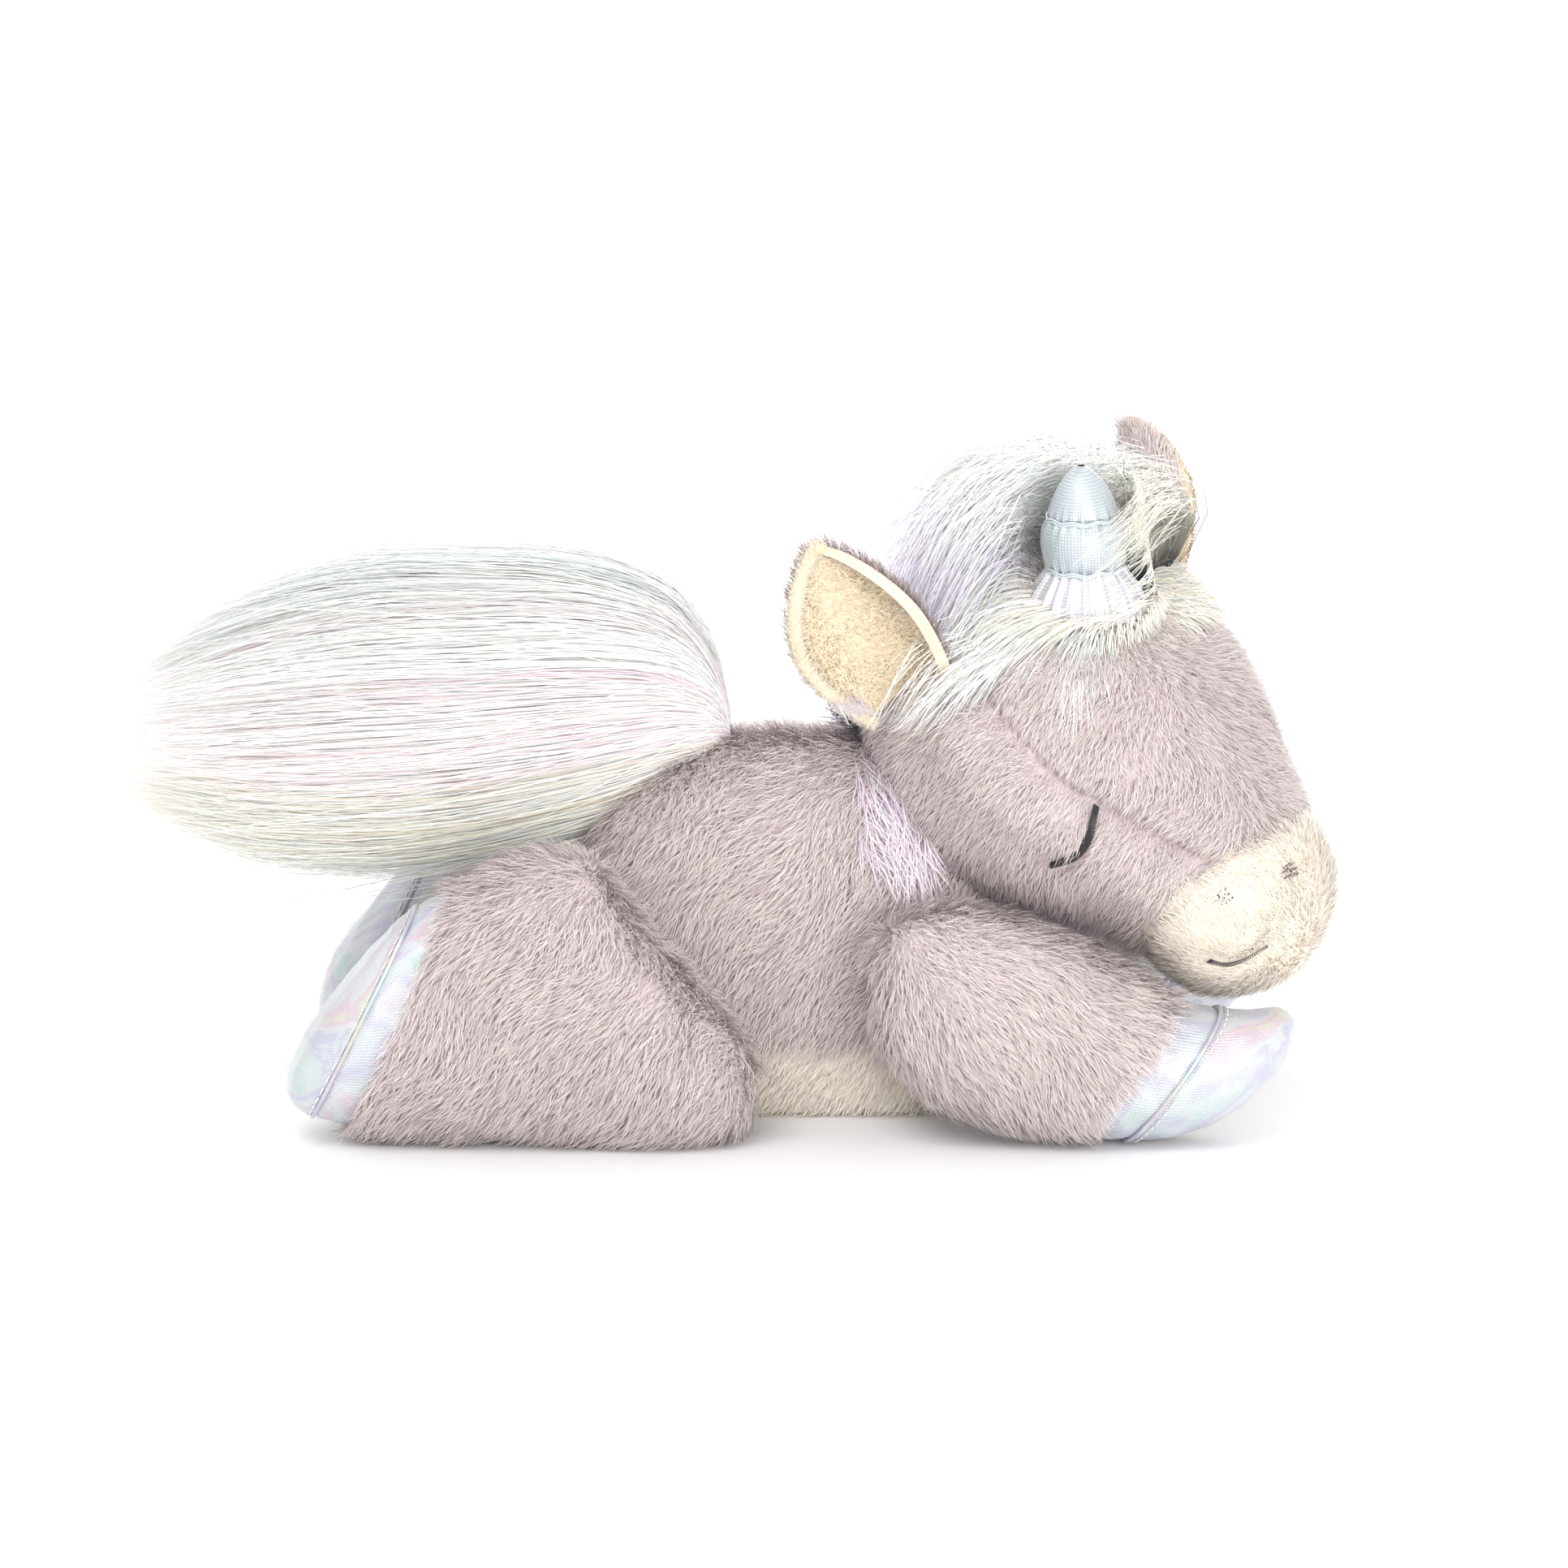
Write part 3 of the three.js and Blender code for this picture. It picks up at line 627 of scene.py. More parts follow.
pile("mane_neck", "torso", Skin(*torso_parts["torso_panel_right"]), LONG_HAIR, 33,
     lambda p: np.broadcast_to(unit((0.3, -0.1, -1.0)), p.shape), density=1.6, length=19, width=0.34,
     keep=lambda p, n: (np.abs(p[:, 0] - 25) < 9) & (p[:, 2] > 66), lifts=(40, 14, 2, 0),
     shade=neck_tone)


# ---------------------------------------------------------------- legs
def leg(name, table, split_at, side, seed):
    body = name
    last = len(table) - 1
    count = 64
    furry = leg_points(table, np.linspace(0, split_at[0] + 0.12, 44), side, count)
    edge = furry[-1]
    inner = edge.mean(0) + (edge - edge.mean(0)) * 0.86
    start = furry[0].mean(0)
    points = np.concatenate([furry.reshape(-1, 3), inner, [start]])
    faces = grid_faces(45, count)
    tip = 45 * count
    faces += [(tip, (c + 1) % count, c) for c in range(count)]
    n = Skin(points, turned_out(points, faces)).n
    lump = 0.9 * waves(points, 34, seed) + 0.4 * waves(points, 14, seed + 1)
    fade = np.ones(len(points))
    fade[-count * 4 - 1:] = 0.25
    points = points + n * (lump * fade)[:, None]
    points[:, 2] = np.maximum(points[:, 2], 0.4)
    faces = turned_out(points, faces)
    cloth = make(f"{name}_cloth", points, faces, body, LILAC_CLOTH)
    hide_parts(f"{name}_skin")
    toward = np.sign(table[-1][0])
    skin = Skin(points[:44 * count], grid_faces(44, count))
    if np.dot(skin.n[count * 20], points[count * 20] - points[count * 20:count * 21].mean(0)) < 0:
        skin.n = -skin.n
    pile(f"{name}_pile", body, skin, LILAC_HAIR, seed + 5,
         lambda p: np.concatenate([np.full((len(p), 1), 0.75 * toward), np.zeros((len(p), 1)),
                                   np.full((len(p), 1), -0.8)], 1),
         density=2.6, length=7.2, width=0.27,
         keep=lambda p, n: (p[:, 2] > 1.0) & ((p[:, 1] * side > 33) | (n[:, 2] > 0.1)
                                              | (np.abs(p[:, 0]) > 58)))
    for piece, low, high, seed_uv in (
        ("hoof_band", split_at[0], split_at[1] + 0.02, 0.0), ("hoof_cap", split_at[1] + 0.02, last, 40.0)):
        rows = np.linspace(low, high, 12 if piece == "hoof_band" else 30)
        ring = leg_points(table, rows, side, count, 0.4)
        pinch = 1 - 0.03 * np.exp(-((rows - split_at[1]) / 0.1) ** 2)
        middle = ring.mean(1, keepdims=True)
        ring = middle + (ring - middle) * pinch[:, None, None]
        if piece == "hoof_cap":
            ring = np.concatenate([ring, middle[-1:] + (ring[-1:] - middle[-1:]) * 0.02])
            ring[-1] += unit(middle[-1, 0] - middle[-4, 0]) * 1.0
        ring = np.concatenate([ring, ring[:, :1]], 1)
        step_v = np.linalg.norm(np.diff(ring.mean(1), axis=0), axis=1)
        wide = np.linalg.norm(np.diff(ring[0], axis=0), axis=1)
        vv = np.concatenate([[0], np.cumsum(step_v + 0.35)])
        uu = np.concatenate([[0], np.cumsum(wide)])
        uv = np.stack(np.meshgrid(uu + seed_uv + seed * 13.0, vv + seed_uv), 2).reshape(-1, 2)
        flat = ring.reshape(-1, 3)
        flat[:, 2] = np.maximum(flat[:, 2], 0.3)
        crease = 0.3 * waves(flat, 9, seed + 7)
        f2 = turned_out(flat, grid_faces(len(ring), count + 1, wrap=False))
        flat = flat + Skin(flat, f2).n * crease[:, None]
        shell = make(f"{name}_{piece}_satin", flat, f2, body, SATIN, uv=uv)
        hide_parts(f"{name}_{piece}")
    seam = leg_points(table, [split_at[1] + 0.03], side, 72, 0.55)[0]
    seam = np.concatenate([seam, seam[:2]])
    piping = tube(seam, 0.55, 8)
    along_seam = np.arange(len(piping[0])) * 0.15
    rib = make(f"{name}_hoof_seam", *piping, body, SATIN,
               uv=np.stack([along_seam, np.zeros(len(piping[0]))], 1))
    dashes = []
    near = leg_points(table, [split_at[1] + 0.2, split_at[1] + 0.2], side, 200, 0.75)[0]
    for i in range(0, 200, 5):
        dash = near[np.arange(i, i + 4) % 200]
        dashes.append(tube(dash, 0.22, 6))
    stitches = make(f"{name}_hoof_stitches", *joined(dashes), body, WHITE)


for side_name, side in (("right", -1), ("left", 1)):
    leg(f"hind_leg_{side_name}", HIND_LEG, HIND_SPLIT, side, 60 + side * 9)
    leg(f"front_leg_{side_name}", FRONT_LEG, FRONT_SPLIT, side, 100 + side * 9)


# ---------------------------------------------------------------- head
local, faces = head_surface()
head_parts = split(local, faces, head_label)
eye_lines = [arc_over_head(EYE_ARC, m, 0, 20) for m in (True, False)]
mouth_line = arc_over_head(MOUTH_ARC, False, 0, 20)


def away_from(lines, distance):
    marks = np.concatenate(lines)

    def keep(p, n):
        gap = np.full(len(p), 1e9)
        for m in marks:
            gap = np.minimum(gap, np.linalg.norm(p - m, axis=1))
        return gap > distance
    return keep


def head_comb(node):
    def comb(p):
        q = (p - SKULL) @ HEAD_AXES.T
        if node == "forehead_gusset":
            d = np.stack([np.full(len(q), 0.6), q[:, 1] / 22, np.full(len(q), -0.2)], 1)
        elif node == "muzzle_patch":
            d = np.stack([np.full(len(q), -0.5), q[:, 1] / 24, q[:, 2] / 24 - 0.2], 1)
        else:
            d = np.stack([np.full(len(q), 0.15), 0.3 * np.sign(q[:, 1]), np.full(len(q), -1.0)], 1)
        return d @ HEAD_AXES
    return comb


def seam_trim(p):
    """The pile is caught and short beside the forehead's seams."""
    q = (p - SKULL) @ HEAD_AXES.T
    beside = (np.abs(q[:, 2] - GUSSET_SEAM) < 6) & (q[:, 0] < MUZZLE_SEAM)
    return 1 - np.where(beside, 0.5 * np.exp(-((q[:, 2] - GUSSET_SEAM) / 2.4) ** 2), 0)


def painted_seam_shadow(p, rng):
    """Painted shade: darker pile in the valley of the forehead's seams, where the crease lies in shadow.
    """
    k = (p - SKULL) @ HEAD_AXES[2]
    return rng.beta(3, 3, len(p)) * (1 - 0.95 * np.exp(-((k - GUSSET_SEAM) / 1.3) ** 2))


for seed, (node, (v, f)) in enumerate(head_parts.items()):
    cream = node == "muzzle_patch"
    v = to_world(v)
    cloth = make(f"{node}_cloth", v, f, "head", CREAM_CLOTH if cream else LILAC_CLOTH)
    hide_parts(node)
    skin = Skin(v, f)
    clear = away_from([mouth_line[:9]] if cream else eye_lines, 1.0 if cream else 1.6)
    pile(f"{node}_pile", "head", skin, CREAM_HAIR if cream else LILAC_HAIR, 140 + seed * 7,
         head_comb(node), density=3.1, length=4.2 if cream else 5.8, width=0.25, keep=clear,
         lifts=(58, 30, 10), trim=seam_trim,
         shade=None if cream else painted_seam_shadow)


def satin_stitch(name, line, normals, half, radius, mat, knot=0.0):
    """Close parallel threads laid across a line."""
    tangent = unit(np.gradient(line, axis=0))
    threads = []
    for i, (p, n, t) in enumerate(zip(line, normals, tangent)):
        across = unit(np.cross(n, t) + t * 0.35)
        reach = half * (0.75 + 0.25 * math.sin(math.pi * min(max(i / len(line), 0.02), 0.98)))
        reach *= (1 + 0.08 * math.sin(i * 2.4)) * (1 + knot * math.exp(-i / 7))
        pts = [p - across * reach - n * 0.5, p - across * reach * 0.6 + n * 0.15, p + n * 0.35,
               p + across * reach * 0.6 + n * 0.15, p + across * reach - n * 0.5]
        threads.append(tube(np.array(pts), radius, 6))
    ob = make(name, *joined(threads), "head", mat)
    return ob


for side_name, mirror in (("right", True), ("left", False)):
    line = arc_over_head(EYE_ARC, mirror, 2.6 if mirror else 1.6, 64)
    under = arc_over_head(EYE_ARC, mirror, 1.0, 64)
    eye = satin_stitch(f"eye_{side_name}_threads", line, unit(line - under), 1.0, 0.2, BLACK)
    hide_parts(f"eye_stitch_{side_name}")
    ahead, spot = NOSTRILS[side_name]
    dots = []
    for i in range(8):
        at, turn = ahead - 1.6 + i * 0.42, spot - 3 * math.sin(i * 2.1)
        tall = (0.8 if mirror else 1.8) + 0.5 * math.sin(i * 3.7)
        a = on_head(at, turn - 3, 1.0)
        b = on_head(at + 0.2, turn, tall)
        c = on_head(at, turn + 3, 1.0)
        dots.append(tube(np.array([a, (a + b) / 2, b, (b + c) / 2, c]), 0.2, 6))
    nostril = make(f"nostril_{side_name}_threads", *joined(dots), "head", BROWN)
    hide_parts(f"nostril_stitch_{side_name}")
line = arc_over_head(MOUTH_ARC, False, 2.1, 34)
under = arc_over_head(MOUTH_ARC, False, 0.5, 34)
mouth = satin_stitch("mouth_threads", line, unit(line - under), 0.36, 0.14, BLACK,
                     knot=1.3)
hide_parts("mouth_stitch")


# ---------------------------------------------------------------- horn
def horn_frame():
    x = unit(np.cross((0, 1, 0), HORN_AXIS))
    return np.stack([x, np.cross(HORN_AXIS, x), HORN_AXIS])


def horn_surface(low, high, rows, cols, gathers):
    t = rows_of(HORN, np.linspace(low, high, rows))
    a = np.linspace(0, 2 * math.pi, cols + 1)
    r = t[:, :1] * np.ones((1, cols + 1))
    h = t[:, 1:2] * np.ones((1, cols + 1))
    flare = np.exp(-((h - 0.0) / 6.0) ** 2) * gathers
    tuck = np.exp(-((h - 8.8) / 3.0) ** 2) * 0.35 + np.exp(-((h - 21.4) / 2.5) ** 2) * 0.25
    folds = np.sin(19 * a + 1.3 * np.sin(3 * a)) + 0.5 * np.sin(31 * a + 2)
    r = r + (flare + tuck) * folds[None, :]
    local = np.stack([r * np.cos(a), r * np.sin(a), h], 2)
    uv = np.stack([np.broadcast_to(a * 9.5, r.shape), h * 1.05], 2).reshape(-1, 2)
    v = HORN_SEAT + local.reshape(-1, 3) @ horn_frame()
    f = turned_out(v, grid_faces(rows, cols + 1, wrap=False))
    return v, f, uv


SKIRT_TOP = 3.6  # row of the horn's table where the gathered skirt ends
v, f, uv = horn_surface(0, SKIRT_TOP, 22, 200, 0.75)
skirt = make("horn_skirt_lame", v, f, "head", PEARL, uv=uv)
v, f, uv = horn_surface(SKIRT_TOP, len(HORN) - 1, 60, 120, 0.0)
cone = make("horn_cone_lame", v, f, "head", LAME, uv=uv)
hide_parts("horn_cover")
for i, (r, h) in enumerate(HORN_THREADS):
    a = np.linspace(0, 2 * math.pi * 2, 120)
    loops = np.stack([(r + 0.25) * np.cos(a), (r + 0.25) * np.sin(a),
                      h + 0.35 * np.sin(a / 2) + 0.3 * np.sin(9 * a)], 1)
    thread = make(f"horn_wound_thread_{i + 1}", *tube(HORN_SEAT + loops @ horn_frame(), 0.3, 6),
                  "head", SILVER_THREAD)
    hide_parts(f"horn_thread_{i + 1}")


# ---------------------------------------------------------------- ears
EARS = {
    "right": {"seat": (-27, -41, 6), "tip": (-0.66, -0.5, 0.56), "open": (0.1, -0.6, 0.3)},
    "left": {"seat": (-19, 39, 4), "tip": (-0.66, 0.5, 0.56), "open": (0.1, 0.6, 0.3)},
}
EAR_LENGTH = 45
EAR_WIDTH = 38
EAR_ROWS = 26
EAR_COLS = 30


def ear_sheet(frame_axes, seat, offset, rows=EAR_ROWS, cols=EAR_COLS, shrink=0.0):
    v = np.linspace(0, 1, rows)
    half = EAR_WIDTH / 2 * (0.42 + 0.58 * np.sin(np.pi * np.minimum(v * 0.62 + 0.16, 1)))
    half = half * np.sqrt(np.maximum(1 - (np.maximum(v - 0.5, 0) * 1.99) ** 2, 0.003)) - shrink
    half = np.maximum(half, 0.6)
    u = np.linspace(-1, 1, cols)
    cup = 1.15
    radius = half / cup
    bend = u[None, :] * cup
    x = np.broadcast_to((v * EAR_LENGTH)[:, None], (rows, cols))
    y = (radius[:, None] + offset) * np.sin(bend)
    z = radius[:, None] - (radius[:, None] + offset) * np.cos(bend) - 4.0 * (v**2)[:, None]
    local = np.stack([x, y, z], 2).reshape(-1, 3)
    return seat + local @ frame_axes


for side_name, e in EARS.items():
    along = unit(e["tip"])
    facing = np.array(e["open"])
    facing = unit(facing - along * facing.dot(along))
    axes = np.stack([along, np.cross(facing, along), facing]) @ HEAD_AXES
    seat = to_world(e["seat"])
    body = f"ear_{side_name}"
    rows, cols = EAR_ROWS, EAR_COLS
    outer = ear_sheet(axes, seat, 1.6)
    lining = ear_sheet(axes, seat, -0.8, shrink=0.6)
    f = grid_faces(rows, cols, wrap=False)
    probe = Skin(outer, f)
    outward = np.dot(probe.n[13 * cols + 15], axes[2]) < 0
    f_out = f if outward else [tuple(reversed(q)) for q in f]
    f_in = [tuple(reversed(q)) for q in f_out]
    back = make(f"{body}_outer_cloth", outer, f_out, body, LILAC_CLOTH)
    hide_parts(f"ear_outer_{side_name}")
    front = make(f"{body}_lining_cloth", lining, f_in, body, VELOUR_CLOTH)
    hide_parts(f"ear_lining_{side_name}")
    edge_ids = ([c for c in range(cols)] + [r * cols + cols - 1 for r in range(1, rows)]
                + [(rows - 1) * cols + c for c in range(cols - 2, -1, -1)]
                + [r * cols for r in range(rows - 2, 0, -1)])
    rim = []
    for a, b in zip(edge_ids, edge_ids[1:] + edge_ids[:1]):
        rim.append((a, b, b + rows * cols, a + rows * cols))
    both = np.concatenate([outer, lining])
    edge = make(f"{body}_rim", both, rim, body, VELOUR_CLOTH)
    free_edge = edge_ids[cols - 1:-rows + 2]
    line = (outer[free_edge] + lining[free_edge]) / 2 + axes[2] * 0.4
    for _ in range(3):
        line[1:-1] = (line[:-2] + 2 * line[1:-1] + line[2:]) / 4
    roll_verts, roll_faces = tube(line, 1.7, 12)
    roll = make(f"{body}_rolled_edge", roll_verts, roll_faces, body, VELOUR_CLOTH)
    pile(f"{body}_edge_pile", body, Skin(roll_verts, roll_faces), VELOUR_HAIR, 250 + len(side_name),
         lambda p: np.broadcast_to(-axes[2], p.shape), density=7.0, length=1.5, width=0.26,
         lifts=(65, 45, 25), sink=0.2)
    comb_dir = unit(axes[0])
    pile(f"{body}_outer_pile", body, Skin(outer, f_out), LILAC_HAIR, 210 + len(side_name),
         lambda p: np.broadcast_to(comb_dir, p.shape), density=2.4, length=5.2)
    pile(f"{body}_lining_pile", body, Skin(lining, f_in), VELOUR_HAIR, 230 + len(side_name),
         lambda p: np.broadcast_to(comb_dir, p.shape), density=5.0, length=1.3, width=0.28,
         lifts=(70, 55, 40), sink=0.2)


# ---------------------------------------------------------------- long hair
def strand_sides(paths, normals, rng):
    """Each strip's flat direction: across the strand, with its face turned mostly outwards."""
    along = unit(paths[:, -1] - paths[:, paths.shape[1] // 3])
    flat = unit(np.cross(normals, along))
    roll = rng.normal(0, 0.4, len(flat))[:, None]
    return unit(flat * np.cos(roll) + normals * np.sin(roll))


def tail_hair(name, count, seed, low=0.0, high=1.0, mat=LONG_HAIR, width=0.5):
    rng = np.random.default_rng(seed)
    r = np.sqrt(rng.uniform(low**2, high**2, count))
    a = rng.uniform(0, 2 * math.pi, count)
    lock = rng.normal(0, 1, (count, 2))
    loose = np.where(rng.random(count) < 0.1, 3.4, 1.0)[:, None]
    rows, levels = len(TAIL) - 1, 9
    end = rows * np.clip(1 - np.abs(rng.normal(0, 0.34, count)), 0.3, 1.0)
    start = rng.uniform(0, 1.7, count) * (0.35 + 0.65 * np.abs(np.sin(a)))
    s = start[:, None] + (end - start)[:, None] * np.linspace(0, 1, levels)[None]
    t = rows_of(TAIL, s.ravel()).reshape(count, levels, 4)
    y = np.cos(a)[:, None] * r[:, None] * t[:, :, 3]
    z = np.sin(a)[:, None] * r[:, None] * t[:, :, 2]
    p = np.stack([t[:, :, 0], y, t[:, :, 1] + z], 2)
    flow = np.linspace(0, 1, levels)[None, :] ** 1.5
    p[:, :, 1] += flow * (lock[:, :1] * 2.4 * loose + 4.0 * waves(p[:, -1], 26, seed + 1)[:, None])
    rise = waves(p[:, -1] * (0.3, 1, 1), 20, seed + 2)[:, None]
    p[:, :, 2] += flow * (lock[:, 1:] * 2.6 * loose + 5.0 * rise)
    ring = np.stack([np.zeros(count), np.cos(a), np.sin(a)], 1)
    normal = unit(ring * 0.8 + rng.normal(0, 0.16, (count, 3)) + (0, -0.25, 0.4))
    side = strand_sides(p, normal, rng)
    band = waves(np.stack([np.zeros(count), y[:, 3], z[:, 3]], 1), 24, seed + 3)
    tone = 0.2 * rng.random(count)
    tone = np.where(band > 0.4, rng.uniform(0.68, 0.86, count), tone)
    tone = np.where(band < -0.6, rng.uniform(0.28, 0.42, count), tone)
    low_hair = (np.sin(a) * r < -0.45) & (rng.random(count) < 0.7)
    tone = np.where(low_hair, rng.uniform(0.84, 0.97, count), tone)
    tone = np.where(rng.random(count) < 0.5, 0.2 * rng.random(count), tone)
    return ribbons(name, "tail", p, side, width * rng.uniform(0.6, 1.2, count), tone, mat,
                   taper=0.85, soft=normal)


core_rows = rows_of(TAIL, np.linspace(0.5, len(TAIL) - 2.2, 26))
side, up = oval_ring(core_rows[:, 3] * 0.6, core_rows[:, 2] * 0.66, -core_rows[:, 2] * 0.66,
                     np.full(26, 2.0), 40)
core = with_poles(np.stack([np.broadcast_to(core_rows[:, :1], side.shape), side,
                            core_rows[:, 1:2] + up], 2), 2.0)
core = core + 1.5 * np.stack([np.zeros(len(core)), waves(core, 20, 5), waves(core, 16, 6)], 1)
tail_core = make("tail_inner_cloth", core, turned_out(core, closed_faces(26, 40)), "tail", HAIR_CLOTH)
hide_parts("tail_hair")
tail_hair("tail_hair_inner", 8000, 301, 0.55, 0.85, width=0.5)
tail_hair("tail_hair_outer", 12800, 302, 0.78, 1.04, width=0.32)


def clear_of_horn(q):
    """Pushes points out of the space that the horn and its skirt fill."""
    axis = HEAD_AXES @ HORN_AXIS
    rel = q - HORN_ROOT
    up = rel @ axis
    out = rel - up[:, None] * axis
    far = np.linalg.norm(out, axis=1)
    room = np.interp(up, [-6, 0, 9, 34, 40], [14, 17.5, 16, 14, 0])
    push = np.where((up > -6) & (up < 40), np.maximum(room - far, 0), 0)
    return q + out / np.maximum(far, 1e-6)[:, None] * push[:, None]


def clear_of_ears(path):
    """Which strands stay out of the ears."""
    free = np.ones(len(path), bool)
    for e in EARS.values():
        tip = unit(e["tip"])
        rel = path - np.array(e["seat"], float)
        up = np.clip(rel @ tip, 0, EAR_LENGTH)
        far = np.linalg.norm(rel - up[:, :, None] * tip, axis=2)
        free &= far.min(1) > EAR_WIDTH / 2 - 8
    return free


def head_hair(name, seed, count, roots, comb, length, lifts, tone, width=0.42, droop=0.0):
    """Long hair rooted on the head, flowing over it."""
    rng = np.random.default_rng(seed)
    p, n = roots(rng, count)
    size = length(p, rng)
    q = p.copy()
    normal = head_normal(q)
    start_normal = normal
    path = [q - normal * 0.4]
    noise = rng.normal(0, 0.14, len(q)) + 0.3 * waves(q, 18, seed + 1)
    by_horn = np.linalg.norm(q - HORN_ROOT - (4, -8, 0), axis=1)
    calm = 1 - 0.9 * np.exp(-((by_horn / 23) ** 4))
    size = size * (0.4 + 0.6 * calm)
    for i, lift in enumerate(lifts):
        normal = head_normal(q)
        d = comb(q)
        t = unit(d - normal * (d * normal).sum(1, keepdims=True))
        t = turn_about(t, normal, noise)
        tilt = rad(lift) * np.where(lift > 0, calm, 1) + rng.normal(0, 0.12, len(q))
        step = t * np.cos(tilt)[:, None] + normal * np.sin(tilt)[:, None]
        step = unit(step + droop * i * (np.array([0, 0, -1.0]) @ HEAD_AXES.T))
        q = clear_of_horn(q + step * (size / len(lifts))[:, None])
        path.append(q)
    path = np.stack(path, 1)
    free = clear_of_ears(path)
    path, size, p, start_normal = path[free], size[free], p[free], start_normal[free]
    paths = SKULL + path @ HEAD_AXES
    soft = unit((start_normal + rng.normal(0, 0.16, p.shape)) @ HEAD_AXES + (0, -0.6, 0.45))
    side = strand_sides(paths, soft, rng)
    return ribbons(name, "head", paths, side, width * rng.uniform(0.6, 1.2, len(p)),
                   np.clip(tone(p, rng), 0.01, 0.99), LONG_HAIR, taper=0.85, soft=soft)


def scalp(low_f, high_f, wide, low_k):
    """Root points on the skull between two distances along it."""
    def roots(rng, count):
        f = rng.uniform(low_f, high_f, count * 3)
        t = rows_of(HEAD, head_row(f))
        a = rng.uniform(0, 2 * math.pi, count * 3)
        middle, half = (t[:, 2] + t[:, 3]) / 2, (t[:, 2] - t[:, 3]) / 2
        p = np.stack([f, np.cos(a) * t[:, 1], middle + np.sin(a) * half], 1)
        ok = (np.abs(p[:, 1]) < wide) & (p[:, 2] > low_k)
        return p[ok][:count], None
    return roots


def forelock_tone(p, rng):
    tone = 0.18 * rng.random(len(p))
    mint = (waves(p, 24, 91) > 0.1) & (rng.random(len(p)) < 0.18)
    tone = np.where(mint, rng.uniform(0.22, 0.33, len(p)), tone)
    yellow = (p[:, 1] > -8) & (p[:, 0] > -22) & (rng.random(len(p)) < 0.45)
    tone = np.where(yellow, rng.uniform(0.86, 0.96, len(p)), tone)
    lavender = (p[:, 0] < -30) & (p[:, 1] < -2) & (rng.random(len(p)) < 0.75)
    return np.where(lavender, rng.uniform(0.5, 0.6, len(p)), tone)


def mane_tone(p, rng):
    tone = 0.56 + 0.12 * rng.random(len(p))
    white = rng.random(len(p)) < 0.3
    return np.where(white, rng.uniform(0.1, 0.3, len(p)), tone)


def side_comb(p):
    """Falls to the right side and back, away from the horn."""
    return np.broadcast_to(unit((-0.35, -1.0, 0.1)), p.shape)


def away_comb(p):
    out = p - HORN_ROOT
    return unit(out * (1.0, 1.0, 0.2) + (0, -10.0, 0))


def front_length(p, rng):
    return rng.uniform(7, 12, len(p)) + 22 * np.clip((-p[:, 1] - 4) / 16, 0, 1)


head_hair("forelock_front", 401, 7000, scalp(-24, 1, 24, 10), away_comb,
          front_length, (44, 22, 8, -2, -8), forelock_tone, width=0.34)
forelock = head_hair("forelock_crown", 402, 10500, scalp(-43, -12, 30, 2), side_comb,
          lambda p, rng: rng.uniform(30, 66, len(p)), (90, 68, 34, 6, -12, -20), forelock_tone,
          width=0.34, droop=0.06)
def far_side_roots(rng, count):
    p, _ = scalp(-32, 0, 34, 8)(rng, count * 4)
    return p[p[:, 1] > 9][:count], None


head_hair("forelock_far_side", 404, 3000, far_side_roots, away_comb,
          lambda p, rng: rng.uniform(9, 16, len(p)), (62, 44, 26, 8, -4), forelock_tone, width=0.34)
nape = head_hair("mane_nape", 403, 5200, scalp(-47, -26, 30, -26), side_comb,
                 lambda p, rng: rng.uniform(15, 27, len(p)), (60, 34, 14, 2, -6), mane_tone,
                 droop=0.1)
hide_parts("mane")
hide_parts("forelock")


# ---------------------------------------------------------------- what lies inside
for node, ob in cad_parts.items():
    if not ob.hide_render:
        ob.data.materials.clear()
        ob.data.materials.append(FILLING)


# ---------------------------------------------------------------- floor, light, camera
def floor_look():
    look = Look("floor", 0.9)
    at = look.node("ShaderNodeTexCoord")
    noise = look.node("ShaderNodeTexNoise", {"Vector": at.outputs["Object"]}, Scale=3.0)
    return look.colour(look.ramp(noise.outputs[0], [(0.0, (0.93, 0.93, 0.93, 1)),
                                                    (1.0, (0.95, 0.95, 0.95, 1))]))


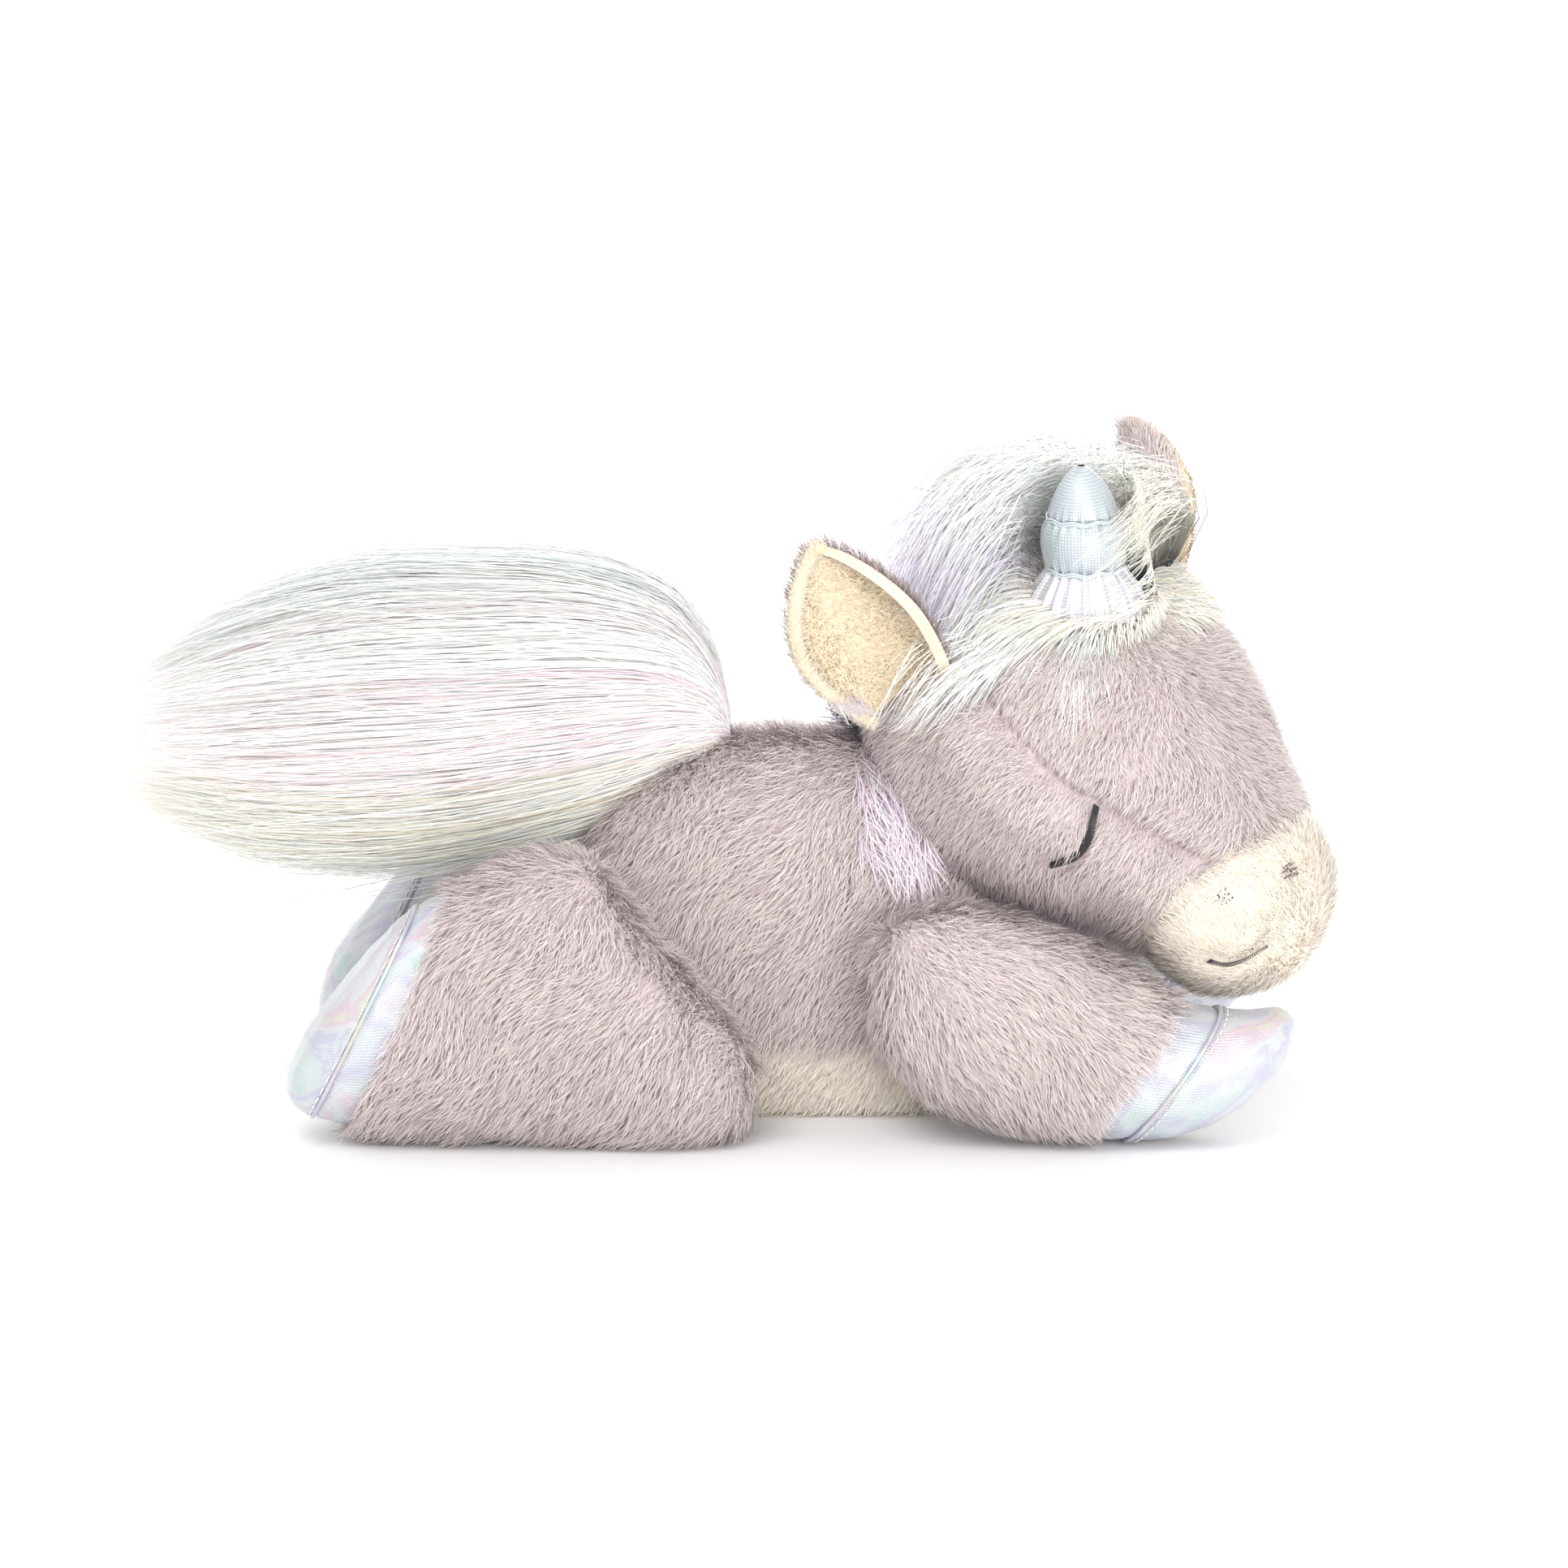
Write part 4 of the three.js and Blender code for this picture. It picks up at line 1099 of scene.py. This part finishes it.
sweep = []
for depth, height in ((-1.6, 0), (-0.6, 0), (0.6, 0), (0.9, 0.0), (1.1, 0.05), (1.25, 0.16), (1.33, 0.34),
                      (1.35, 0.6), (1.35, 1.1), (1.35, 2.4)):
    sweep += [(-3.0, depth, height), (3.0, depth, height)]
floor_mesh = bpy.data.meshes.new("floor")
floor_mesh.from_pydata(sweep, [], [(2 * i, 2 * i + 1, 2 * i + 3, 2 * i + 2) for i in range(9)])
floor_mesh.polygons.foreach_set("use_smooth", [True] * 9)
floor_mesh.materials.append(floor_look())
floor = bpy.data.objects.new("floor", floor_mesh)
bpy.context.scene.collection.objects.link(floor)

world = bpy.data.worlds.new("studio")
bpy.context.scene.world = world
world.use_nodes = True
world.node_tree.nodes["Background"].inputs[0].default_value = (1.0, 1.0, 1.0, 1)
world.node_tree.nodes["Background"].inputs[1].default_value = 0.84


def area(name, at, target, size, watts, colour=(1, 1, 1)):
    lamp = bpy.data.lights.new(name, "AREA")
    lamp.size = size
    lamp.energy = watts
    lamp.color = colour
    ob = bpy.data.objects.new(name, lamp)
    ob.location = at
    ob.rotation_euler = (Vector(target) - Vector(at)).to_track_quat("-Z", "Y").to_euler()
    bpy.context.scene.collection.objects.link(ob)
    return ob


area("key", (-0.35, -0.75, 1.05), (0, 0, 0.06), 0.7, 6)
area("fill", (0.4, -1.05, 0.13), (0.06, 0, 0.06), 0.6, 9)
area("rim", (0.2, 0.9, 0.9), (0, 0, 0.08), 0.8, 7)

TARGET = np.array([-0.0008, 0.0, 0.0784])
ELEVATION = rad(10)
DISTANCE = 1.449
camera_data = bpy.data.cameras.new("camera")
camera_data.lens = 135
camera_data.sensor_width = 36
camera_data.clip_end = 20
camera = bpy.data.objects.new("camera", camera_data)
camera.location = TARGET + DISTANCE * np.array([0, -math.cos(ELEVATION), math.sin(ELEVATION)])
camera.rotation_euler = (math.pi / 2 - ELEVATION, 0, 0)
bpy.context.scene.collection.objects.link(camera)
bpy.context.scene.camera = camera

bpy.context.scene.view_settings.view_transform = "Standard"
